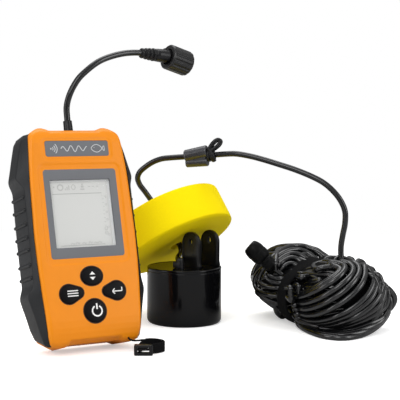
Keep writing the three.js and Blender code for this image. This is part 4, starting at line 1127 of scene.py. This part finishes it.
# ---- wound cable: a hank along Y, with a lobe each side of its strap
# Turns on the camera's side, as points x, y, z. "near" turns lie on the lobe at low Y, "far"
# ones on the other; "inner" ones lie on the near lobe too and never carry on round it.
TURNS = (
    ("near", (
        ((149, 6.4, 2.3), (146.2, -9.1, 1.9), (146.5, -23.5, 1.8), (153, -32.7, 1.8),
         (166.5, -32.4, 1.9), (181.7, -27.3, 3.6), (190.7, -25.7, 7.9), (194.4, -26.5, 13.3)),
        ((148.9, 7.5, 3.7), (150.2, -4.7, 2.3), (155.2, -14.2, 1.8), (164.3, -19.3, 2.8),
         (173.3, -23.8, 6), (182.2, -26.8, 10.2), (191, -27, 13.7), (196.5, -27.7, 17.7),
         (198.2, -28.4, 22.4), (195.9, -28.1, 27), (189.4, -28.7, 31.3)),
        ((149.3, 8.9, 5.7), (153.6, 0.7, 3.8), (156.5, -10.6, 4.8), (159.4, -22.5, 8.6),
         (164.9, -29.7, 13.4), (172.3, -32.3, 18.3), (179.2, -32.5, 23.3),
         (184.5, -31.1, 28.4), (186.7, -29, 33.5), (185.7, -26.8, 38.6)),
        ((148.9, 10.3, 8.1), (150.3, -2.1, 7.9), (151.2, -15.4, 10.2), (154.4, -25.5, 14.4),
         (160.5, -30.8, 19.2), (167.6, -32.8, 24.3), (174.1, -32.5, 29.6), (179, -30.2, 35.2),
         (180.8, -26.1, 40.3), (179.8, -21.5, 44.1)),
        ((148.6, 11.8, 10.9), (147.2, -3.7, 12.2), (147.8, -16.5, 15.2), (151.1, -25, 19.8),
         (156.6, -29.7, 24.8), (163.1, -31.6, 30.1), (169.5, -30.8, 35.2), (174.7, -27.1, 40),
         (178.4, -21, 44.5)),
        ((148.2, 13.3, 14), (145.8, -3.2, 16.2), (146.2, -15.6, 19.8), (149.3, -23.6, 24.3),
         (154.2, -28.1, 29), (160, -29.8, 33.6), (166.2, -28.8, 38), (171.6, -24.9, 42),
         (174.3, -19.6, 44.9), (174, -14.8, 46.5)),
        ((147.8, 14.3, 17.2), (145.1, -2.7, 20.2), (145.6, -15.1, 24.2), (149, -22.6, 28.8),
         (153.8, -26.6, 33.2), (159.4, -27.7, 37.3), (165, -25.9, 40.9), (169.1, -21.4, 44),
         (169.7, -16.3, 46), (166.7, -12.7, 46.7)),
        ((146.6, 15.8, 20.5), (144.6, 0.4, 24), (145, -11.5, 28.3), (148, -19.2, 32.8),
         (152.6, -23.2, 36.8), (158, -23.8, 40.4), (162.7, -21.4, 43.5), (164.8, -17.1, 45.5),
         (163.5, -13, 46.2), (160, -9.7, 46)),
        ((146.9, 8.9, 23), (146.1, -3.7, 27.5), (147.5, -12.9, 32), (151.1, -18.2, 36.2),
         (155.9, -20.1, 39.6), (160.2, -19, 42.2), (162, -15.9, 43.8), (160.4, -11.9, 44.1),
         (156.9, -7.6, 43.3), (153.7, -3.8, 42)),
        ((166.8, -31.7, 1.8), (181.4, -25.4, 4.8), (188.6, -25.1, 10.5), (189.9, -27.7, 17.9),
         (188.9, -29.2, 25.6), (186.9, -29.6, 33.1)),
        ((179.7, -22.9, 5.6), (182.3, -28.3, 12.3), (184, -31, 19), (183.9, -31.6, 25.6),
         (182.1, -30.9, 32.1), (179.6, -28.9, 38.5)),
    )),
    ("inner", (
        ((152.8, 14.7, 36.3), (154.3, 9.3, 36.2), (153.5, 0.1, 35.9), (152.2, -9.2, 35.2)),
        ((152.7, 12.4, 27.3), (151.3, 4.6, 31), (151.2, -2.6, 33.5), (152.2, -9.2, 35.2)),
        ((146, 17.8, 28.5), (146.1, 17.1, 24.8), (146.3, 16.7, 21.1)),
        ((150.5, 14.5, 30.1), (150.6, 13.7, 25.9), (151, 13.1, 22)),
        ((157.1, 6.2, 38.3), (158.5, -3.3, 39.5), (160.8, -10.3, 40.2), (164.3, -13.6, 40.8)),
        ((162.7, 9.1, 40.1), (167, 7.2, 41.5), (172, 5.4, 42.5), (177.6, 3.3, 43.3)),
    )),
    ("far", (
        ((147.4, 41.4, 43.4), (153.8, 43.7, 47.1), (162.6, 47.3, 49.5), (171.6, 49, 50.4),
         (177.4, 45.8, 50), (180.9, 41, 48.2), (183.7, 37.2, 45.3), (185.7, 34, 42)),
        ((147.7, 39.2, 42.9), (154.3, 40.2, 46.6), (161.7, 41.1, 48.6), (168.8, 41, 48.7),
         (173.8, 38.8, 47.1), (176.7, 35.2, 44.4), (178.7, 31.9, 41.2)),
        ((147.6, 36.1, 41), (153.5, 36.6, 44.9), (159.5, 36.4, 46.9), (164.4, 34.5, 46.5),
         (167.6, 31.4, 44.4), (169.5, 28.1, 41.4)),
        ((148, 33.9, 39.7), (152.6, 33.7, 42.9), (157.2, 33, 44.6), (160.8, 31.1, 44.1),
         (162.7, 28.4, 41.8), (163.5, 26, 39)),
        ((149.7, 31, 38.5), (153.2, 30.5, 40.8), (156.4, 29.3, 41.3), (158.4, 27.4, 39.9),
         (158.9, 25.8, 37.8)),
        ((178.1, 44.7, 49), (181, 40.9, 48.3), (183.7, 37.5, 46.8), (185.8, 34.8, 44.5),
         (188, 31.8, 42.2)),
        ((143.8, 41.4, 39.1), (141.5, 46.6, 35.1), (140.2, 50.2, 30.4), (139.8, 51.1, 25.7),
         (140.2, 48.3, 21.9), (141.5, 42.4, 19.9), (143.9, 35.8, 19.4), (146.9, 30.4, 19.7)),
        ((142.7, 42.5, 37.5), (140.9, 45.7, 32.5), (140.2, 46, 28.3), (140.8, 42.3, 25.8),
         (143, 36.4, 25.1), (146.6, 30, 25.2)),
        ((142.5, 39.9, 35.1), (141.8, 39.7, 31.9), (142.5, 37.2, 29.8), (144.6, 33.2, 28.8),
         (147.6, 29, 28.6)),
        ((142.6, 38, 33.5), (144.7, 33.9, 32), (148.3, 28.8, 31.3)),
        ((140.3, 48.3, 19.9), (141.8, 43.1, 17.4), (144, 38.4, 15.3), (146.3, 34.6, 14.2),
         (148.1, 32.1, 14)),
        ((141.3, 44.2, 17.3), (143.4, 41, 14.6), (146, 37.9, 12.1), (148.5, 35.5, 10.4)),
        ((147.1, 35.4, 12.1), (150.6, 39.9, 7.4), (155.2, 43.7, 3.8), (159.1, 44.5, 1.8)),
    )),
    ("near", (
        ((149.21, 6.57, 2.87), (147.89, -6.6, 2.25), (149.62, -19.26, 2), (156.9, -29.73, 2.47),
         (169.74, -31.43, 3.67), (182.68, -28.86, 5.98), (192.21, -26.93, 12.45)),
        ((149.18, 6.84, 3.22), (148.93, -6.34, 2.32), (152.66, -18.28, 2.03),
         (161.37, -27.55, 3.09), (174.03, -30.33, 5.56), (187.03, -28.93, 9.13),
         (193.64, -27.85, 17.42)),
        ((149.16, 7.11, 3.57), (149.99, -6.09, 2.4), (155.8, -17.23, 2.17),
         (165.99, -25.08, 3.98), (178.31, -28.72, 7.83), (190.98, -28.34, 12.68),
         (194.52, -28.17, 22.57)),
        ((149.33, 9.46, 7.08), (152.49, -2.45, 6.17), (154.35, -14.75, 8.14),
         (158.43, -25.62, 12.79), (167.11, -31.54, 19.35), (177.1, -32.26, 26.95),
         (183.59, -27.82, 36.48)),
        ((146.92, 12.24, 21.77), (145.96, 2.46, 24.57), (146.05, -7.08, 28.01),
         (148.33, -15.7, 32.52), (154.3, -21.25, 37.97), (161.37, -18.65, 42.99),
         (160.12, -10.55, 44.77)),
        ((171.09, -28.98, 2.88), (176.18, -27.93, 5.43), (181.24, -26.99, 7.85),
         (185.74, -27.34, 12.31), (187.69, -28.51, 18.36), (187.12, -29.48, 25.03),
         (185.44, -29.5, 31.63)),
        ((175.44, -26.08, 4.1), (178.76, -27.13, 7.63), (182.06, -28.12, 11.14),
         (184.91, -29.31, 15.96), (185.85, -30.16, 21.84), (184.82, -30.32, 27.92),
         (183.02, -29.6, 33.79)),
        ((149.38, 7.83, 4.72), (152.38, -4.54, 3.22), (158.54, -15.29, 3.88),
         (167.23, -23.35, 6.89), (177.8, -28.79, 12.3), (189.4, -29.69, 18.78),
         (191.88, -28.42, 29.48)),
        ((149.52, 8.29, 5.39), (153.58, -3.32, 3.84), (158.05, -14.57, 5.14),
         (164.06, -24.15, 8.68), (173.33, -30.26, 14.44), (184.18, -31.39, 21.3),
         (188.96, -28.75, 31.32)),
    )),
)
# three turns near the floor that come out from under the strap
STRAP_TURNS = (
    ((154, 30, 6), (152.8, 21, 5.6), (150.6, 14, 4.4), (149.2, 9, 2.6), (150.5, 2, 1.9),
     (155, -6, 1.9)),
    ((150.8, 30, 11), (149.8, 21, 10.5), (148.2, 14, 8.6), (148.2, 8, 6.4), (149.8, 0, 5.0),
     (153, -8, 4.4)),
    ((158, 30, 4.2), (156.6, 21, 3.8), (153.6, 13, 2.2), (153.0, 6, 1.9), (155.5, -1, 1.9),
     (160, -9, 1.9)),
)
# radius along the hank: y, radius
HANK_RADIUS = (
    (-34, 0), (-32.4, 10), (-27, 19), (-15.5, 25), (-3, 26.6), (8, 25.8), (15, 23),
    (16.4, 21.6), (25.6, 21.6), (27, 23), (38, 24.9), (52, 25.4), (65, 23.4), (76, 17),
    (81.6, 9), (83, 0),
)
HANK_X, HANK_Z = 171.5, 24  # the hank's axis at Y = 0
SLIDE_X, SLIDE_Z = -0.06, 0.045  # the axis's drift for each millimetre of Y
CAMERA_SIDE = np.array([-0.484, -0.875, 0.0])  # level direction towards the camera
NEAR_LOBE = np.array([172.0, -4.0, 24.5])
FAR_LOBE = np.array([165.0, 52.0, 26.0])


def on_hank(y, angle, inset):
    """A point at station y and an angle round the hank, below its skin by inset."""
    radius = max(look_up(HANK_RADIUS, y) - inset, 0.5)
    x = HANK_X + SLIDE_X * y + 1.13 * radius * math.cos(angle)
    z = HANK_Z + SLIDE_Z * y + radius * math.sin(angle)
    return np.array([x, y, max(z, 1.9)])


def dive(end, before, centre):
    """Where a turn's end goes when it slips under its neighbours, or under the strap."""
    if centre[1] < 20 and end[0] < 160:
        return end + (2.2, 7.5, 0.1 * (HANK_Z - end[2]))
    return end + 3.5 * unit(end - before) + 4.5 * unit(centre - end)


def tucked(points, centre):
    return ([dive(points[0], points[1], centre)] + points
            + [dive(points[-1], points[-2], centre)])


def above_floor(points):
    return [(x, y, max(z, 1.75)) for x, y, z in points]


def surface_turn(kind, rows, rng):
    """The bars for one listed turn and what the hank hides of it."""
    points = [np.array(row) for row in rows]
    centre = FAR_LOBE if kind == "far" else NEAR_LOBE
    behind = [p - 2 * ((p - centre) @ CAMERA_SIDE) * CAMERA_SIDE for p in points]
    # a turn seen as far as the lobe's edge carries on round the other side
    start_joins, end_joins = [kind != "inner" and abs((p - centre) @ CAMERA_SIDE) < 9.0
                              for p in (points[0], points[-1])]
    radius = (1.72 if kind == "far" else 1.95) + 0.1 * rng.random()
    bars = []
    if start_joins and end_joins:
        loop = above_floor(points + behind[::-1])
        bars.append(sweep(loop, radius, 12, 22 * len(points), closed=True))
    else:
        if end_joins:
            runs = [points + behind[::-1]]
        elif start_joins:
            runs = [points[::-1] + behind]
        else:
            runs = [points, behind]
        for run in runs:
            path = above_floor(tucked(run, centre))
            bars.append(sweep(path, radius, 12, 12 * len(path)))
    if kind == "far":
        # the flank the near lobe hides
        middle = centre[0] + 1.0
        flank = [np.array([2 * middle - x, y, z]) for x, y, z in points]
        flank = [p + 1.6 * unit(centre - p) for p in flank]
        bars.append(sweep(above_floor(tucked(flank, centre)), 1.7, 10, 9 * len(flank)))
    return bars


def wound_turns():
    rng = random.Random(7)
    bars = []
    for kind, turns in TURNS:
        for rows in turns:
            bars += surface_turn(kind, rows, rng)
    # turns that run straight through the strap
    for k in range(22):
        angle = 2 * math.pi * k / 22 + rng.uniform(-0.08, 0.08)
        high = max(0.0, math.sin(angle))
        path = [on_hank(y, angle + 0.012 * (y - 20), 2.3 + 4.2 * high + 0.004 * (y - 20) ** 2)
                for y in np.linspace(2, 40, 10)]
        bars.append(sweep(path, 1.75, 10, 50))
    bars += [sweep(path, 1.85, 12, 60) for path in STRAP_TURNS]
    # turns below the skin
    for k in range(26):
        angle = 2 * math.pi * k / 26 + rng.uniform(-0.1, 0.1)
        inset = 5.0 + 1.6 * rng.random()
        twist = rng.uniform(0.3, 0.9)
        path = [on_hank(y, angle + twist * (y + 30) / 60, inset)
                for y in np.linspace(-27, 70, 15)]
        bars.append(sweep(path, 1.7, 9, 70))
    return merge(bars)


def wound_core():
    """A dark filling that closes the gaps between turns."""
    profile = [(0, -29), (10, -27), (18.4, -16), (21.4, -2), (20.8, 10), (18.5, 21),
               (19.6, 30), (20.8, 50), (17, 66), (8, 74), (0, 75)]
    verts, faces = lathe(profile, (0, 0, 0), (0, 1, 0), 40)
    x, y, z = verts.T
    height = np.maximum(HANK_Z + SLIDE_Z * y + z, 1.5)
    return np.stack([HANK_X + SLIDE_X * y + 1.1 * x, y, height], -1), faces


make("wound_turns", wound_turns(), STRAND, "cable_jacket", "coil", angle=80, flip=True,
     replaces="cable_coil")
make("wound_core", wound_core(), STRAP, "cable_jacket", "coil", angle=80, flip=True)

# ---- strap round the hank
# path: x, z
BAND_PATH = (
    (181, 44.4), (168, 42.4), (157, 39.2), (148.6, 33.8), (144.4, 28), (142.6, 21),
    (143.2, 14.5), (146.6, 8.4), (151.2, 4.0), (158, 1.4), (168, 0.9), (180, 1.6), (190, 6),
    (197, 14), (199, 24), (196, 34), (190, 41),
)
# section: offset from the path, y from the strap's middle
BAND_SECTION = ((0.35, -5.2), (0.75, -4.9), (0.95, -2.2), (0.95, 2.2), (0.75, 4.9),
                (0.35, 5.2), (-0.5, 5.0), (-0.5, -5.0))


def coil_strap():
    centres = curve([(x, 0, z) for x, z in BAND_PATH], 150, True)
    rings = []
    for i, (centre, along) in enumerate(zip(centres, tangents(centres, True))):
        outward = np.array([along[2], 0, -along[0]])
        bow = 0.25 * math.sin(i * 0.35)
        middle = 20.8 - 0.03 * (centre[2] - 24)
        ring = []
        for offset, y in BAND_SECTION:
            point = centre + outward * offset
            ring.append((point[0], middle + y + bow, max(point[2], 0.3)))
        rings.append(ring)
    return skin(rings, wrap=True)


make("coil_strap_skin", coil_strap(), STRAP, "webbing", "coil", angle=50, replaces="coil_strap")

# ---- end plug
END_PLUG = [
    (3.6, 4.6), (3.6, -1.9), (4.0, -2.4), (4.6, -2.2), (5.4, -1.2), (6.05, 0.6), (6.4, 2.9),
    (6.4, 4.6), (6.2, 4.9), (6.2, 5.3), (6.4, 5.6), (6.35, 9.2), (5.7, 10.7), (4.7, 11.4),
    (4.5, 12.0), (5.0, 12.6), (4.95, 13.5), (4.6, 14.2), (4.9, 16.6), (4.6, 18.4),
    (3.4, 20.4), (1.8, 21.2),
]
end_start, end_dir = np.array([132.4, 43.3, 51.6]), unit((0.632, -0.414, -0.655))
make("end_plug_skin", lathe(rounded(END_PLUG, 0.25, 3), end_start, end_dir, 64), PLUG,
     "black_plastic", "end_plug", angle=45, flip=True, replaces="end_plug_shell")
end_cable = [end_start + distance * end_dir for distance in (19, 23, 27, 31.5)]
make("end_plug_cable_skin", sweep(end_cable, CABLE_RADIUS, 18, 40), CABLE, "cable_jacket",
     "end_plug", angle=60, flip=True, replaces="end_plug_cable")


# ---- floor
def floor_material():
    """Pale paper that the camera sees lift to plain white away from the object."""
    mat = material("floor_pale", (0.97, 0.97, 0.97), rough=0.9, spec=0.1, vary=0.004,
                   vary_scale=4)
    tree = mat.node_tree
    seen = add_node(tree, "LightPath").outputs["Is Camera Ray"]
    glow = add_node(tree, "Emission", {"Strength": multiply(tree, seen, 0.42)})
    dull = add_node(tree, "BsdfDiffuse", {"Color": (0.62, 0.62, 0.62, 1)})
    paper = add_node(tree, "MixShader", {
        "Fac": seen, 1: dull, 2: tree.nodes["Principled BSDF"]})
    lit_paper = add_node(tree, "AddShader", {0: paper, 1: glow})
    place = add_node(tree, "NewGeometry").outputs["Position"]
    reach = add_node(tree, "VectorMath", {0: place}, operation="LENGTH").outputs["Value"]
    fade = add_node(tree, "MapRange", {"Value": reach, "From Min": 0.22, "From Max": 0.6},
                    interpolation_type="SMOOTHSTEP")
    white = add_node(tree, "Emission", {"Strength": 1.0})
    join = add_node(tree, "MixShader", {
        "Fac": multiply(tree, fade, seen), 1: lit_paper, 2: white})
    feed(tree, tree.nodes["Material Output"], {"Surface": join})
    return mat


FLOOR_HALF = 6  # metres
floor_mesh = bpy.data.meshes.new("floor")
floor_mesh.from_pydata([(x * FLOOR_HALF, y * FLOOR_HALF, 0)
                        for x, y in ((-1, -1), (1, -1), (1, 1), (-1, 1))], [], [(0, 1, 2, 3)])
floor_mesh.materials.append(floor_material())
floor = bpy.data.objects.new("floor", floor_mesh)
bpy.context.scene.collection.objects.link(floor)


# ---- world: white to the camera, brighter overhead as a light
def build_world():
    world = bpy.data.worlds.new("studio")
    bpy.context.scene.world = world
    world.use_nodes = True
    tree = world.node_tree
    white = tree.nodes["Background"]
    feed(tree, white, {"Color": (1, 1, 1, 1), "Strength": 1.0})
    coords = add_node(tree, "TexCoord").outputs["Generated"]
    height = add_node(tree, "SeparateXYZ", {0: coords}).outputs["Z"]
    strength = add_node(tree, "MapRange", {
        "Value": height, "From Min": -0.05, "From Max": 0.85, "To Min": 0.15, "To Max": 0.93})
    light = add_node(tree, "Background", {"Strength": strength})
    seen = add_node(tree, "LightPath").outputs["Is Camera Ray"]
    mix = add_node(tree, "MixShader", {"Fac": seen, 1: light, 2: white})
    feed(tree, tree.nodes["World Output"], {"Surface": mix})


build_world()
bpy.context.scene.view_settings.view_transform = "Standard"

# ---- lights, all aimed at LIGHT_TARGET; places and sizes in metres
LIGHT_TARGET = Vector((0.0, -0.04, 0.07))
# name, place, width, height, power in watts
LIGHTS = (
    ("key_light", (-0.9, -0.9, 0.95), 0.7, 0.9, 7.9),
    ("fill_light", (0.75, -1.1, 0.55), 0.5, 0.9, 6.6),
    ("side_light", (-1.15, 0.05, 0.35), 0.35, 0.8, 3.4),
    ("top_light", (0.1, 0.35, 1.2), 0.9, 0.6, 6.5),
)
for name, place, width, height, power in LIGHTS:
    light = bpy.data.lights.new(name, "AREA")
    light.energy = power
    light.shape = "RECTANGLE"
    light.size = width
    light.size_y = height
    lamp = bpy.data.objects.new(name, light)
    bpy.context.scene.collection.objects.link(lamp)
    lamp.location = Vector(place)
    lamp.rotation_mode = "QUATERNION"
    lamp.rotation_quaternion = (LIGHT_TARGET - Vector(place)).to_track_quat("-Z", "Y")

# ---- camera: turned from -Y towards -X, slightly raised
AZIMUTH, ELEVATION, ROLL = [math.radians(angle) for angle in (-28.93, 4.68, 0.35)]
# millimetres from the layout's origin along the camera's own axes
CAMERA_BACK, CAMERA_RIGHT, CAMERA_UP = 647.8, 60.1, 91.8
camera_data = bpy.data.cameras.new("camera")
camera = bpy.data.objects.new("camera", camera_data)
bpy.context.scene.collection.objects.link(camera)
back = np.array([math.sin(AZIMUTH) * math.cos(ELEVATION),
                 -math.cos(AZIMUTH) * math.cos(ELEVATION), math.sin(ELEVATION)])
level_right = unit(np.cross(-back, Z_UP))
level_up = np.cross(level_right, -back)
right = level_right * math.cos(ROLL) + level_up * math.sin(ROLL)
up = -level_right * math.sin(ROLL) + level_up * math.cos(ROLL)
place = to_metres(back * CAMERA_BACK + right * CAMERA_RIGHT + up * CAMERA_UP)[0]
rows = np.column_stack([right, up, back, place]).tolist()
camera.matrix_world = Matrix(rows + [[0, 0, 0, 1]])
camera_data.sensor_width = 36
camera_data.lens = 98.595
camera_data.clip_start = 0.01
camera_data.clip_end = 50
bpy.context.scene.camera = camera
